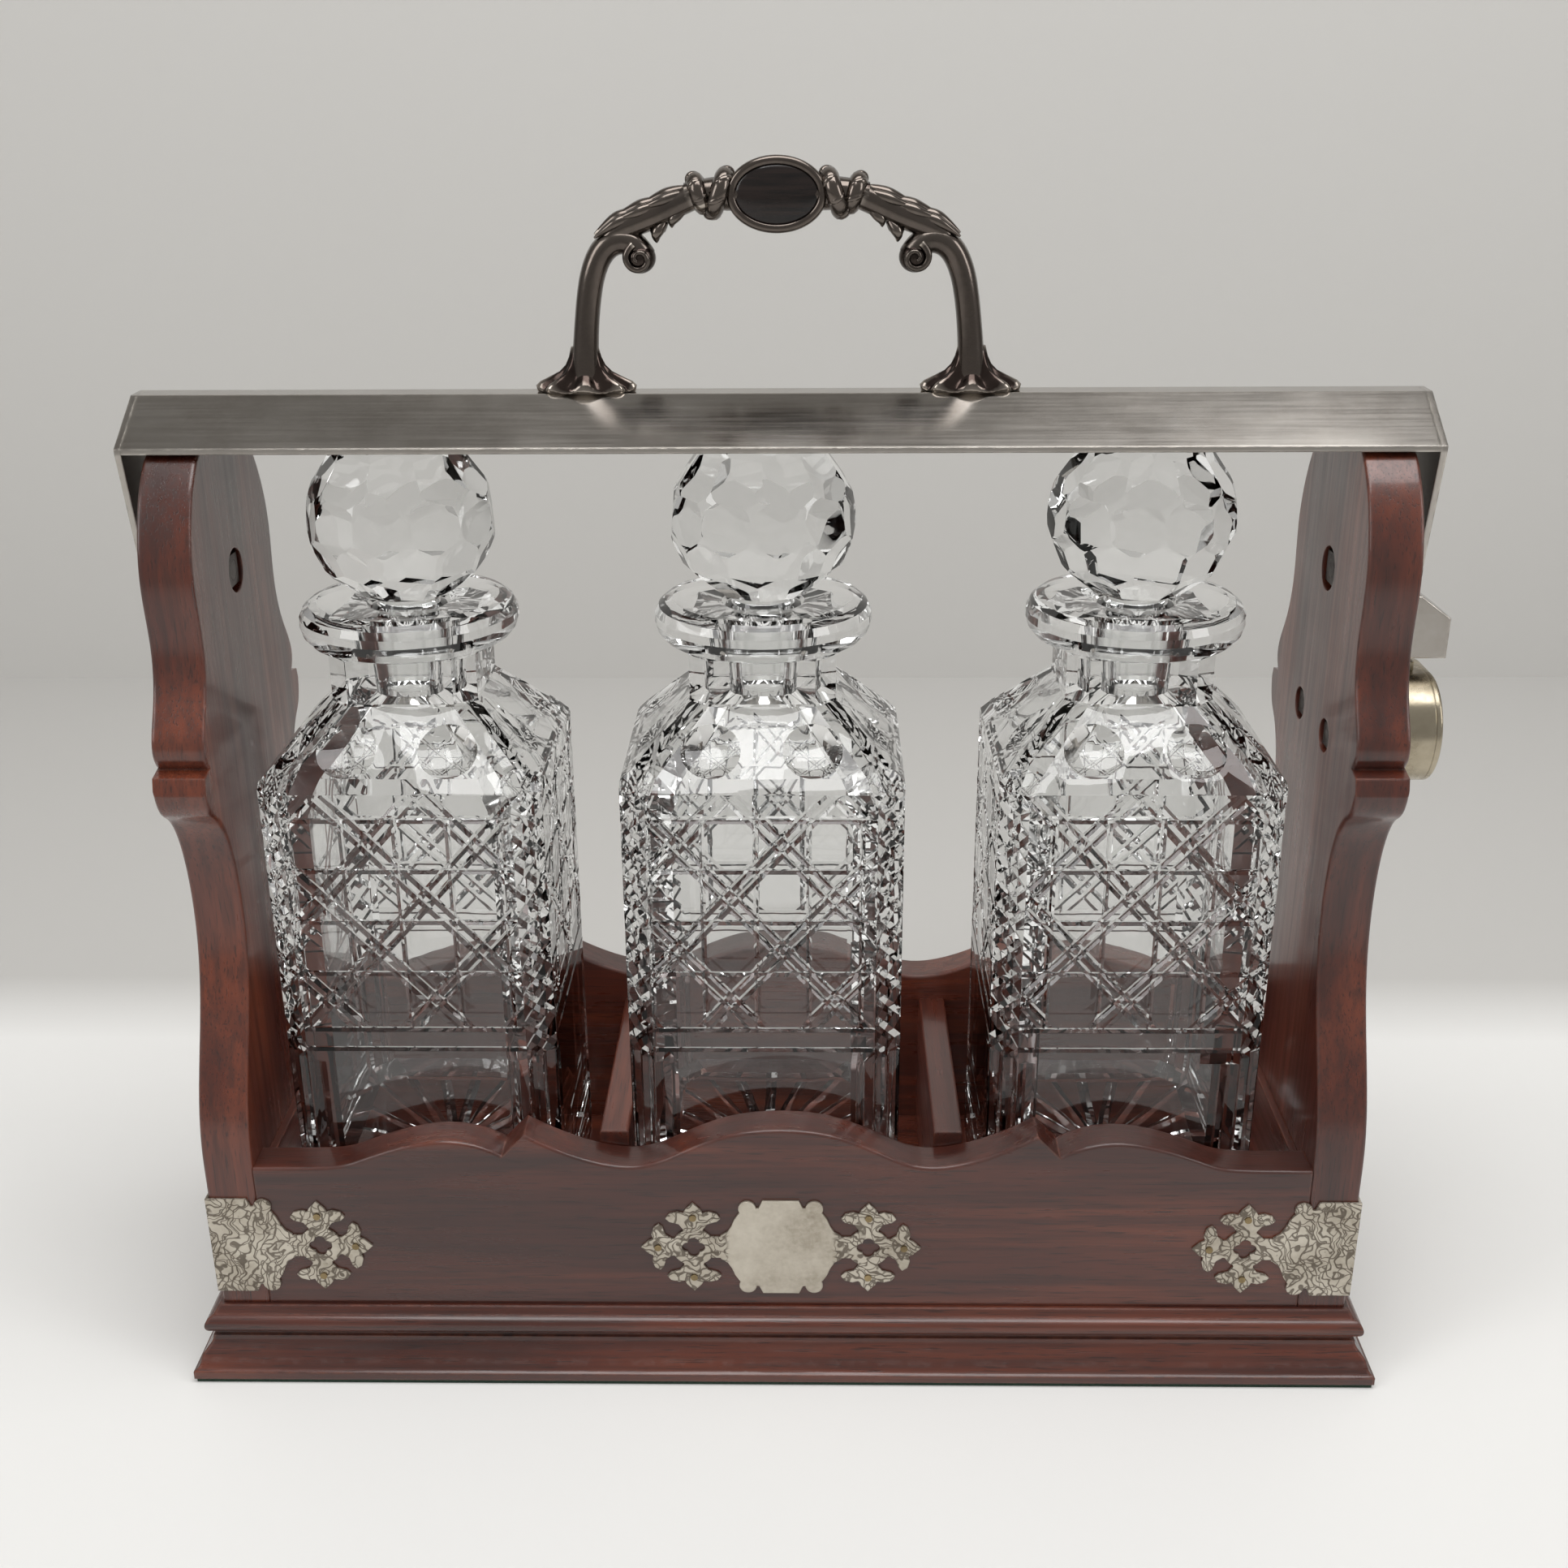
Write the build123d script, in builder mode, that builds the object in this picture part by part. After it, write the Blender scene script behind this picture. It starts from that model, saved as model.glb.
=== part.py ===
# Antique three-bottle tantalus: an open mahogany carrier for three square cut-glass decanters,
# held down by a plated bar that swings on two pivot bolts and locks at its right-hand end.
# Millimetres. +X right, -Y front, +Z up, with the origin under the middle of the base.

from build123d import *
from math import cos, radians, sin, sqrt
import os

os.makedirs("parts", exist_ok=True)

# ---- Driving dimensions -------------------------------------------------------------------

# Carrier box
box_length = 352.0            # over the outer faces of the two end panels
panel_thickness = 15.0
board_thickness = 12.0
board_clearance = 0.5         # decanter to the front and back boards
tongue_length = 5.0           # the boards' tongues, housed in the end panels
tongue_thickness = 4.0
tongue_drop = 6.0             # how far below the board's edge the tongue stops
arris = 0.9                   # rounding on the show edges of the wood

# Base
underlay_thickness = 1.5
underlay_inset = 0.6
plinth_height = 24.0          # top of the base, above the table
plinth_land = 10.0            # how far the mouldings run in under the box
foot_projection = 9.2         # ogee foot, out from the box
foot_lip = 2.6                # flat edge under the ogee
ogee_top = 14.0
ogee_projection = 3.4
groove_projection = 2.6
nose_projection = 5.2
nose_height = 6.0
nose_gap = 1.4                # groove between the ogee and the nose
cap_projection = 1.2

# Tray
floor_thickness = 8.0
lining_thickness = 2.5
lining_top = 70.0
divider_thickness = 9.0
divider_centre = 51.5         # each divider's distance from the middle
divider_top = 80.0

# Scalloped top edge, the same on the front board and the raised back board
board_end_height = 74.0
back_board_rise = 14.0
crest_rise = 14.0             # centre hump above the ends
trough_x = 43.5
trough_rise = 1.0
peak_x = 77.5
peak_rise = 12.0
notch_x = 84.5
notch_rise = 4.6
side_hump_x = 102.0
side_hump_rise = 9.6
run_out_x = 127.0
run_out_rise = 3.2

# Scrolled edge of the end panels: distance in from the box's face, height over the board's end or
# under the pivot
panel_flank = ((2.6, 18.0), (14.0, 44.0))
panel_waist = ((21.4, -100.0), (11.0, -62.0))
panel_nose = (4.0, -52.0)
panel_step_foot = (5.4, -47.0)
panel_step_top = (10.2, -46.0)
panel_step_hump = (7.6, -41.0)
# Head of the end panels: distance from the middle, height from the pivot
panel_head = ((40.8, -28.0), (36.6, -12.0), (37.6, 4.0), (30.8, 27.0))
panel_crown_angle = 30.0      # where the head's edge meets the round top

# Decanters
decanter_width = 83.0
corner_cut = 8.0
body_height = 160.5
wall = 8.0
bottle_base = 22.0            # thick, for the star cut underneath
shoulder_height = 19.5
neck_width = 43.0
neck_corner_cut = 6.0
neck_height = 15.2
lip_diameter = 64.6
lip_height = 13.0
lip_rounding = 5.2
lip_overlap = 1.0
mouth_radius = 14.0
mouth_taper = 3.0             # how much the ground bore narrows over its length
ground_clearance = 0.15
side_place = (-0.32, -0.89, -0.20)   # where each stands in its compartment, as a share of its play

# Stoppers
ball_diameter = 54.7
ball_seat = 3.75              # the ball's underside sinks this far below the lip
plug_length = 27.0

# Bar
bar_half_depth = 22.5
bar_plate = 1.8
bar_lip = 1.6                 # upright edge of the channel, front and back
bar_rise = 13.2               # lower edge to ridge
ridge_half_width = 4.0
pivot_below_ball_top = 43.15
ball_clearance = 1.0          # swung bar to stopper
panel_clearance = 1.0         # swung bar to panel top
plate_gap = 5.6               # panel to side plate
side_plate_end_radius = 14.3

# Pivots
pivot_radius = 3.0
running_clearance = 0.05
pivot_head_radius = 6.0
pivot_head_height = 3.4
end_play = 0.3
spacer_radius = 6.6
pivot_bore_radius = 6.65      # counterbore in the panel's inner face
pivot_bore_depth = 6.5
pivot_nut_width = 9.2         # square nut, across the flats
pivot_nut_thickness = 4.6
nut_setback = 0.8             # nut face below the panel's face

# Lock
lock_below_pivot = 47.0
case_half_height = 16.5
case_half_width = 22.0
case_depth = 15.5
case_wall = 1.8
cover_thickness = 2.0
cover_lap = 0.8               # the cover's rim inside the case
plug_radius = 5.0
plug_flange_radius = 6.4
plug_flange_thickness = 1.6
plug_nose = 3.0               # plug proud of the cover
key_slot_width = 1.6
key_slot_height = 6.4
key_slot_depth = 3.6
throw = 4.0                   # bolt travel, and the drive pin's distance from the plug's axis
drive_pin_radius = 1.2
drive_angle = 30.0            # the pin rests this far below level and turns as far above
drive_clearance = 0.12
lock_bolt_width = 7.0
lock_bolt_thickness = 4.0
lock_bolt_foot_width = 14.0
lock_bolt_foot_height = 8.0
lock_bolt_setback = 8.4       # case back to the bolt's inner face
lock_bolt_clearance = 0.1
bolt_gap = 1.4                # catch to the drawn-back bolt
catch_radius = 26.4           # catch foot, struck from the pivot
catch_width = 16.0
catch_height = 20.0
catch_projection = 12.6
catch_slope = 6.6
catch_slope_run = 9.0
socket_depth = 5.2
socket_clearance = 0.3
lock_screw_spacing = 28.6
lock_screw_radius = 1.9
lock_screw_head_radius = 3.4
lock_screw_head_height = 2.2
lock_bore_radius = 5.1
lock_bore_depth = 4.5
lock_nut_width = 7.0
lock_nut_thickness = 3.2

# Handle
handle_foot_x = 54.4
handle_foot_length = 27.0
handle_foot_height = 9.0
stem_radius = 3.2
foot_neck_radius = 3.9        # top of the foot, where the stem rises out of it
stem_root = 2.0               # how far the stem starts below the foot's top
# Route of the stem above its foot: distance from the middle, height over the ridge
stem_route = ((51.4, 28.0), (47.6, 38.6), (40.0, 44.4), (29.0, 48.6))
knob_height = 53.4            # knob centre above the ridge
knob_width = 24.7
knob_tall = 18.8
knob_depth = 11.0
inset_width = 20.0
inset_tall = 16.0
inset_depth = 1.6
inset_clearance = 0.1
collars = ((16.6, 7.9, 3.6), (21.6, 6.9, 3.4))   # distance from the middle, radius, length
scroll_x = 37.2
scroll_drop = 15.6            # scroll centre below the knob's
scroll_radius = 4.1
leaf_centre = (38.6, 7.6)     # distance from the middle, drop below the knob's centre
leaf_size = (9.0, 4.4, 3.4)   # half length, half depth and half thickness
leaf_tilt = 24.0
stud_radius = 2.0
stud_length = 5.4
handle_nut_width = 7.0
handle_nut_thickness = 3.0

# Plated mounts
mount_plate = 0.8
mount_low = 29.0
mount_high = 63.2
corner_flat = 11.8            # corner of the box to the end of the corner mount's flat edge
cartouche_flat = 5.6          # middle to the end of the cartouche's flat edge
# Scrolled end of a mount's panel: distance from the end of its flat edge, height from its middle
panel_notch = (1.2, 14.4)
lobe_centre = (4.7, 14.2)
lobe_radius = 2.7
hollow = ((7.2, 12.6), (8.7, 10.2), (9.6, 7.8), (10.9, 5.6), (13.0, 4.2))
neck_half_width = 3.8
cross_from_flat = 21.4        # end of the flat edge to the middle of the cross
cross_radius = 6.6
cross_hole = 1.8
# One arm of a cross: distance out from its middle, half width
arm_outline = (
    (0.0, 4.0),
    (6.6, 3.0),
    (8.6, 4.4),
    (9.4, 7.2),
    (10.6, 8.4),
    (12.2, 7.3),
    (12.9, 4.8),
    (12.4, 3.0),
    (13.8, 2.3),
    (16.2, 0.0),
)
pin_reach = 11.0              # middle of the cross to each pin
pin_radius = 0.6
pin_head_radius = 1.1
pin_head_height = 0.5
pin_length = 5.0

# ---- Places worked out from them ----------------------------------------------------------

half_length = box_length / 2
inner_x = half_length - panel_thickness
inner_y = decanter_width / 2 + board_clearance
half_depth = inner_y + board_thickness
floor_top = plinth_height + floor_thickness
lining_face = inner_x - lining_thickness
divider_inner = divider_centre - divider_thickness / 2
divider_outer = divider_centre + divider_thickness / 2

side_centre = (lining_face + divider_outer) / 2
side_play = (lining_face - divider_outer - decanter_width) / 2
middle_play = divider_inner - decanter_width / 2
decanter_x = {
    "left": -side_centre + side_place[0] * side_play,
    "middle": side_place[1] * middle_play,
    "right": side_centre + side_place[2] * side_play,
}

foot_z = floor_top
body_top = foot_z + body_height
neck_base = body_top + shoulder_height
lip_base = neck_base + neck_height - lip_overlap
lip_top = lip_base + lip_height
ball_radius = ball_diameter / 2
ball_z = lip_top - ball_seat + ball_radius
ball_top = ball_z + ball_radius

pivot_z = ball_top - pivot_below_ball_top
bar_inner_radius = pivot_below_ball_top + ball_clearance
panel_top_radius = bar_inner_radius - panel_clearance
bar_edge_z = pivot_z + sqrt(bar_inner_radius**2 - (bar_half_depth - bar_plate) ** 2)
ridge_z = bar_edge_z + bar_rise
plate_inner_x = half_length + plate_gap
plate_outer_x = plate_inner_x + bar_plate

lock_z = pivot_z - lock_below_pivot
catch_foot_z = pivot_z - catch_radius
bolt_top_z = catch_foot_z - bolt_gap
bolt_x = half_length + lock_bolt_setback
cover_x = half_length + case_depth
mount_centre_z = (mount_low + mount_high) / 2


def finish(builder, name):
    """Label a finished piece and write it to its own file."""
    builder.part.label = name
    export_step(builder.part, f"parts/{name}.step")


# ---- Base ---------------------------------------------------------------------------------


def make_base_board():
    with BuildPart() as base_board:
        with BuildSketch(Plane.XY.offset(underlay_thickness)):
            Rectangle(2 * (half_length - plinth_land), 2 * (half_depth - plinth_land))
        extrude(amount=plinth_height - underlay_thickness)
    finish(base_board, "base_board")


def make_plinth_moulding(name, outward, face_distance, half_run):
    """One mitred length of the ogee base moulding, on the side that outward points to."""
    out = Vector(*outward)
    section_plane = Plane(origin=out * face_distance, x_dir=out, z_dir=out.cross(Vector(0, 0, 1)))
    nose_low = ogee_top + nose_gap
    nose_high = nose_low + nose_height
    foot_top = underlay_thickness + foot_lip
    with BuildPart() as moulding:
        with BuildSketch(section_plane):
            with BuildLine():
                Polyline(
                    (cap_projection, plinth_height),
                    (-plinth_land, plinth_height),
                    (-plinth_land, underlay_thickness),
                    (foot_projection, underlay_thickness),
                    (foot_projection, foot_top),
                )
                middle = ((foot_projection + ogee_projection) / 2, (foot_top + ogee_top) / 2)
                Spline(
                    (foot_projection, foot_top),
                    middle,
                    (ogee_projection, ogee_top),
                    tangents=[(-1, 0.25), (0, 1)],
                )
                Polyline(
                    (ogee_projection, ogee_top),
                    (groove_projection, ogee_top),
                    (groove_projection, nose_low),
                )
                ThreePointArc(
                    (groove_projection, nose_low),
                    (nose_projection, (nose_low + nose_high) / 2),
                    (groove_projection, nose_high),
                )
                Line((groove_projection, nose_high), (cap_projection, plinth_height))
            make_face()
        extrude(amount=half_run + foot_projection, both=True)
        with BuildSketch(Plane(origin=(0, 0, 0), x_dir=out, z_dir=(0, 0, 1))):
            near = (face_distance - plinth_land, half_run - plinth_land)
            far = (face_distance + foot_projection, half_run + foot_projection)
            with BuildLine():
                Polyline(near, far, (far[0], -far[1]), (near[0], -near[1]), close=True)
            make_face()
        extrude(amount=plinth_height, mode=Mode.INTERSECT)
    finish(moulding, name)


def make_base_underlay():
    inset = foot_projection - underlay_inset
    with BuildPart() as underlay:
        with BuildSketch():
            Rectangle(2 * (half_length + inset), 2 * (half_depth + inset))
        extrude(amount=underlay_thickness)
    finish(underlay, "base_underlay")


# ---- Plated mounts: outlines shared with the pin holes in the wood -------------------------


def scrolled_end(x, z, towards):
    """End of a mount's panel beyond its flat edge: notch, scroll lobe and hollow flank to the neck."""
    half_height = (mount_high - mount_low) / 2
    upper = [(0, half_height), panel_notch, lobe_centre, *hollow]
    lower = [(out, -rise) for out, rise in reversed(upper)]
    Polygon(*[(x + towards * out, z + rise) for out, rise in upper + lower], align=None)
    with Locations(*[(x + towards * lobe_centre[0], z + up * lobe_centre[1]) for up in (-1, 1)]):
        Circle(lobe_radius)
    with Locations((x + towards * cross_from_flat / 2, z)):
        Rectangle(cross_from_flat, 2 * neck_half_width)


def cross_outline(x, z, towards):
    """A pierced fleury cross, with its plain arm on the side that towards points away from."""
    with Locations((x, z)):
        Circle(cross_radius)
    one_side = [*arm_outline]
    other_side = [(out, -half) for out, half in reversed(arm_outline[:-1])]
    for reach, rise in ((towards, 0), (0, 1), (0, -1)):
        arm = [
            (x + out * reach - half * rise, z + out * rise + half * reach)
            for out, half in one_side + other_side
        ]
        Polygon(*arm, align=None)
    with Locations((x - cross_hole, z), (x + cross_hole, z), (x, z - cross_hole), (x, z + cross_hole)):
        Circle(cross_hole, mode=Mode.SUBTRACT)


def cross_pins(x, z, towards):
    """Pin places on a cross: the two upright arms and the outer arm."""
    return [(x, z + pin_reach), (x, z - pin_reach), (x + towards * pin_reach, z)]


cartouche_cross_x = cartouche_flat + cross_from_flat
corner_cross = half_length - corner_flat - cross_from_flat
front_pins = (
    cross_pins(cartouche_cross_x, mount_centre_z, 1)
    + cross_pins(-cartouche_cross_x, mount_centre_z, -1)
    + cross_pins(corner_cross, mount_centre_z, -1)
    + cross_pins(-corner_cross, mount_centre_z, 1)
)
side_cross_y = half_depth - corner_flat - cross_from_flat
side_pins = cross_pins(-side_cross_y, mount_centre_z, 1)


def make_cartouche():
    half_height = (mount_high - mount_low) / 2
    with BuildPart() as cartouche:
        with BuildSketch(Plane.XZ.offset(half_depth)):
            with Locations((0, mount_centre_z)):
                Rectangle(2 * cartouche_flat, 2 * half_height)
            scrolled_end(cartouche_flat, mount_centre_z, 1)
            scrolled_end(-cartouche_flat, mount_centre_z, -1)
            cross_outline(cartouche_cross_x, mount_centre_z, 1)
            cross_outline(-cartouche_cross_x, mount_centre_z, -1)
        extrude(amount=mount_plate)
        with BuildSketch(Plane.XZ.offset(half_depth + mount_plate)):
            with Locations(*front_pins[:6]):
                Circle(pin_radius + running_clearance)
        extrude(amount=-mount_plate, mode=Mode.SUBTRACT)
    finish(cartouche, "cartouche")


def make_corner_mount(name, side):
    """An angle plate wrapped round one front corner, with a cross on each face."""
    with BuildPart() as mount:
        with BuildSketch(Plane.XZ.offset(half_depth)):
            edge = half_length + mount_plate
            flat_end = half_length - corner_flat
            with Locations((side * (edge + flat_end) / 2, mount_centre_z)):
                Rectangle(edge - flat_end, mount_high - mount_low)
            scrolled_end(side * flat_end, mount_centre_z, -side)
            cross_outline(side * corner_cross, mount_centre_z, -side)
            with Locations(*front_pins[6:]):
                Circle(pin_radius + running_clearance, mode=Mode.SUBTRACT)
        extrude(amount=mount_plate)
        with BuildSketch(Plane.YZ.offset(side * half_length)):
            flat_end = half_depth - corner_flat
            with Locations((-(half_depth + flat_end) / 2, mount_centre_z)):
                Rectangle(corner_flat, mount_high - mount_low)
            scrolled_end(-flat_end, mount_centre_z, 1)
            cross_outline(-side_cross_y, mount_centre_z, 1)
            with Locations(*side_pins):
                Circle(pin_radius + running_clearance, mode=Mode.SUBTRACT)
        extrude(amount=side * mount_plate)
    finish(mount, name)


def make_mount_pins():
    """Round-headed brass pins through the mounts, a separate solid for each."""
    with BuildPart() as pins:
        with BuildSketch(Plane.XZ.offset(half_depth + mount_plate)):
            with Locations(*front_pins):
                Circle(pin_head_radius)
        extrude(amount=pin_head_height)
        with BuildSketch(Plane.XZ.offset(half_depth + mount_plate)):
            with Locations(*front_pins):
                Circle(pin_radius)
        extrude(amount=-pin_length)
        for side in (-1, 1):
            face = side * (half_length + mount_plate)
            with BuildSketch(Plane.YZ.offset(face)):
                with Locations(*side_pins):
                    Circle(pin_head_radius)
            extrude(amount=side * pin_head_height)
            with BuildSketch(Plane.YZ.offset(face)):
                with Locations(*side_pins):
                    Circle(pin_radius)
            extrude(amount=-side * pin_length)
    finish(pins, "mount_pins")


# ---- Box ----------------------------------------------------------------------------------


def make_board(name, face_plane, inward, rise, pins):
    """A front or back board with its scalloped top edge and a tongue on each end."""
    end_z = board_end_height + rise
    with BuildPart() as board:
        with BuildSketch(face_plane):
            with BuildLine():
                peak = (peak_x, end_z + peak_rise)
                notch = (notch_x, end_z + notch_rise)
                Spline(
                    (0, end_z + crest_rise),
                    (trough_x, end_z + trough_rise),
                    peak,
                    tangents=[(1, 0), (1, 0.6)],
                )
                Line(peak, notch)
                Spline(
                    notch,
                    (side_hump_x, end_z + side_hump_rise),
                    (run_out_x, end_z + run_out_rise),
                    (inner_x, end_z),
                    tangents=[(1, 0.6), (1, 0)],
                )
                Polyline((inner_x, end_z), (inner_x, plinth_height), (0, plinth_height))
                mirror(about=Plane.YZ)
            make_face()
        extrude(amount=inward * board_thickness)
        scallops = board.edges().filter_by(GeomType.BSPLINE)
        fillet(scallops, arris)
        middle_y = (inner_y + half_depth) / 2 * (-1 if face_plane.origin.Y < 0 else 1)
        tongue_height = end_z - tongue_drop - plinth_height
        with Locations((0, middle_y, plinth_height + tongue_height / 2)):
            Box(2 * (inner_x + tongue_length), tongue_thickness, tongue_height)
        if pins:
            with BuildSketch(face_plane):
                with Locations(*pins):
                    Circle(pin_radius + running_clearance)
            extrude(amount=inward * (pin_length - mount_plate + end_play), mode=Mode.SUBTRACT)
    finish(board, name)


def panel_outline():
    """Outline of an end panel, seen from its side: scrolled edges and a round top."""
    with BuildSketch() as outline:
        with BuildLine():
            shoulder = (half_depth, board_end_height)
            flank = [(half_depth - inward, board_end_height + rise) for inward, rise in panel_flank]
            waist = [(half_depth - inward, pivot_z + rise) for inward, rise in panel_waist]
            nose, step_foot, step_top, hump = [
                (half_depth - inward, pivot_z + rise)
                for inward, rise in (panel_nose, panel_step_foot, panel_step_top, panel_step_hump)
            ]
            head = [(out, pivot_z + rise) for out, rise in panel_head]
            crown = [
                (panel_top_radius * sin(radians(turn)), pivot_z + panel_top_radius * cos(radians(turn)))
                for turn in (panel_crown_angle, panel_crown_angle / 2, 0)
            ]
            Polyline((0, plinth_height), (half_depth, plinth_height), shoulder)
            Spline(shoulder, *flank, *waist, nose, tangents=[(0, 1), (0.2, 1)])
            Polyline(nose, step_foot, step_top)
            Spline(step_top, hump, *head, crown[0])
            ThreePointArc(*crown)
            mirror(about=Plane.YZ)
        make_face()
    return outline.sketch


def make_panel(name, side):
    """An end panel, bored for its pivot bolt; the right-hand one is also bored for the lock."""
    outer = side * half_length
    inner = side * inner_x
    with BuildPart() as panel:
        with BuildSketch(Plane.YZ.offset(outer)):
            add(panel_outline())
        extrude(amount=-side * panel_thickness)
        rims = panel.edges().filter_by(lambda edge: edge.bounding_box().size.X < 0.01)
        curved_rims = rims.filter_by(GeomType.LINE, reverse=True)
        fillet(curved_rims, arris)
        middle_y = (inner_y + half_depth) / 2
        for row, rise in ((-middle_y, 0), (middle_y, back_board_rise)):
            tongue_height = board_end_height + rise - tongue_drop - plinth_height
            with Locations((inner, row, plinth_height + tongue_height / 2)):
                Box(2 * tongue_length, tongue_thickness, tongue_height, mode=Mode.SUBTRACT)
        inner_face = Plane(origin=(inner, 0, pivot_z), x_dir=(0, 1, 0), z_dir=(-side, 0, 0))
        with Locations(inner_face):
            CounterBoreHole(
                pivot_radius + running_clearance,
                pivot_bore_radius,
                pivot_bore_depth,
                depth=2 * panel_thickness,
            )
        if side > 0:
            for row in (-lock_screw_spacing / 2, lock_screw_spacing / 2):
                screw_face = Plane(origin=(inner, row, lock_z), x_dir=(0, 1, 0), z_dir=(-side, 0, 0))
                with Locations(screw_face):
                    CounterBoreHole(
                        lock_screw_radius + running_clearance,
                        lock_bore_radius,
                        lock_bore_depth,
                        depth=2 * panel_thickness,
                    )
        pin_hole = pin_length - mount_plate + end_play
        with BuildSketch(Plane.YZ.offset(outer)):
            with Locations(*side_pins):
                Circle(pin_radius + running_clearance)
        extrude(amount=-side * pin_hole, mode=Mode.SUBTRACT)
    finish(panel, name)


def make_tray():
    """Floor board, thin end linings and the two dividers between the compartments."""
    with BuildPart() as tray_floor:
        with BuildSketch(Plane.XY.offset(plinth_height)):
            Rectangle(2 * inner_x, 2 * inner_y)
        extrude(amount=floor_thickness)
    finish(tray_floor, "tray_floor")
    for name, side in (("end_lining_left", -1), ("end_lining_right", 1)):
        with BuildPart() as lining:
            with BuildSketch(Plane.XY.offset(floor_top)):
                with Locations((side * (inner_x + lining_face) / 2, 0)):
                    Rectangle(lining_thickness, 2 * inner_y)
            extrude(amount=lining_top - floor_top)
        finish(lining, name)
    for name, side in (("divider_left", -1), ("divider_right", 1)):
        with BuildPart() as divider:
            with BuildSketch(Plane.XY.offset(floor_top)):
                with Locations((side * divider_centre, 0)):
                    Rectangle(divider_thickness, 2 * inner_y)
            extrude(amount=divider_top - floor_top)
            top_edges = divider.edges().filter_by(Axis.Y).group_by(Axis.Z)[-1]
            fillet(top_edges, arris)
        finish(divider, name)


# ---- Decanters and stoppers ---------------------------------------------------------------


def cut_square(width, corner):
    """A square with its corners cut off."""
    outline = Rectangle(width, width)
    chamfer(outline.vertices(), corner)


def make_decanter(name, x):
    """A square decanter with cut corners, a sloping shoulder, a square cut neck and a disc lip."""
    cavity_width = decanter_width - 2 * wall
    cavity_top = body_top - wall / 4
    bore_foot = lip_top - plug_length
    bore_foot_radius = mouth_radius - mouth_taper
    with BuildPart() as decanter:
        with BuildSketch(Plane(origin=(x, 0, foot_z))):
            cut_square(decanter_width, corner_cut)
        extrude(amount=body_height)
        with BuildSketch(Plane(origin=(x, 0, body_top))):
            cut_square(decanter_width, corner_cut)
        with BuildSketch(Plane(origin=(x, 0, neck_base))):
            cut_square(neck_width, neck_corner_cut)
        loft(ruled=True)
        with BuildSketch(Plane(origin=(x, 0, neck_base))):
            cut_square(neck_width, neck_corner_cut)
        extrude(amount=neck_height)
        with BuildSketch(Plane(origin=(x, 0, lip_base))):
            Circle(lip_diameter / 2)
        extrude(amount=lip_height)
        rims = decanter.edges().filter_by(GeomType.CIRCLE).filter_by(
            lambda edge: abs(edge.radius - lip_diameter / 2) < 0.01
        )
        fillet(rims, lip_rounding)
        with BuildSketch(Plane(origin=(x, 0, foot_z + bottle_base))):
            cut_square(cavity_width, corner_cut)
        extrude(amount=cavity_top - foot_z - bottle_base, mode=Mode.SUBTRACT)
        with BuildSketch(Plane(origin=(x, 0, cavity_top))):
            cut_square(cavity_width, corner_cut)
        with BuildSketch(Plane(origin=(x, 0, bore_foot))):
            across = 2 * bore_foot_radius
            cut_square(across, across / (2 + sqrt(2)))
        loft(ruled=True, mode=Mode.SUBTRACT)
        with BuildSketch(Plane(origin=(x, 0, 0), x_dir=(1, 0, 0), z_dir=(0, -1, 0))):
            with BuildLine():
                Polyline(
                    (0, bore_foot),
                    (bore_foot_radius, bore_foot),
                    (mouth_radius, lip_top),
                    (0, lip_top),
                    close=True,
                )
            make_face()
        revolve(axis=Axis((x, 0, 0), (0, 0, 1)), mode=Mode.SUBTRACT)
    finish(decanter, name)


facet_rings = ((0, 12, 0), (31, 12, 15), (59, 8, 0), (-31, 12, 15), (-56, 8, 0))
facet_depth = 0.965           # facet's distance from the ball's centre, as a share of its radius


def make_stopper(name, x):
    """A cut ball on a ground plug that fills the decanter's mouth."""
    centre = Vector(x, 0, ball_z)
    plug_foot = lip_top - plug_length + 1.0
    plug_top = lip_top + 1.0
    taper = mouth_taper / plug_length
    top_radius = mouth_radius - ground_clearance
    foot_radius = top_radius - taper * (lip_top - plug_foot)
    with BuildPart() as stopper:
        with Locations(centre):
            Sphere(ball_radius)
        for latitude, count, start in facet_rings:
            for step in range(count):
                around = radians(start + step * 360 / count)
                facing = Vector(
                    cos(radians(latitude)) * cos(around),
                    cos(radians(latitude)) * sin(around),
                    sin(radians(latitude)),
                )
                facet = Plane(origin=centre + facing * ball_radius * facet_depth, z_dir=facing)
                split(bisect_by=facet, keep=Keep.BOTTOM)
        with BuildSketch(Plane(origin=(x, 0, 0), x_dir=(1, 0, 0), z_dir=(0, -1, 0))):
            with BuildLine():
                Polyline(
                    (0, plug_foot),
                    (foot_radius, plug_foot),
                    (top_radius, lip_top),
                    (top_radius, plug_top),
                    (0, ball_z),
                    close=True,
                )
            make_face()
        revolve(axis=Axis((x, 0, 0), (0, 0, 1)))
    finish(stopper, name)


# ---- Bar ----------------------------------------------------------------------------------

bar_slope = (bar_rise - bar_lip) / (bar_half_depth - ridge_half_width)
slope_stretch = sqrt(1 + bar_slope**2)


def bar_roof_points():
    """Half of the bar's outer section, from the ridge to the lower edge."""
    return [
        (0, ridge_z),
        (ridge_half_width, ridge_z),
        (bar_half_depth, bar_edge_z + bar_lip),
        (bar_half_depth, bar_edge_z),
    ]


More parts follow.
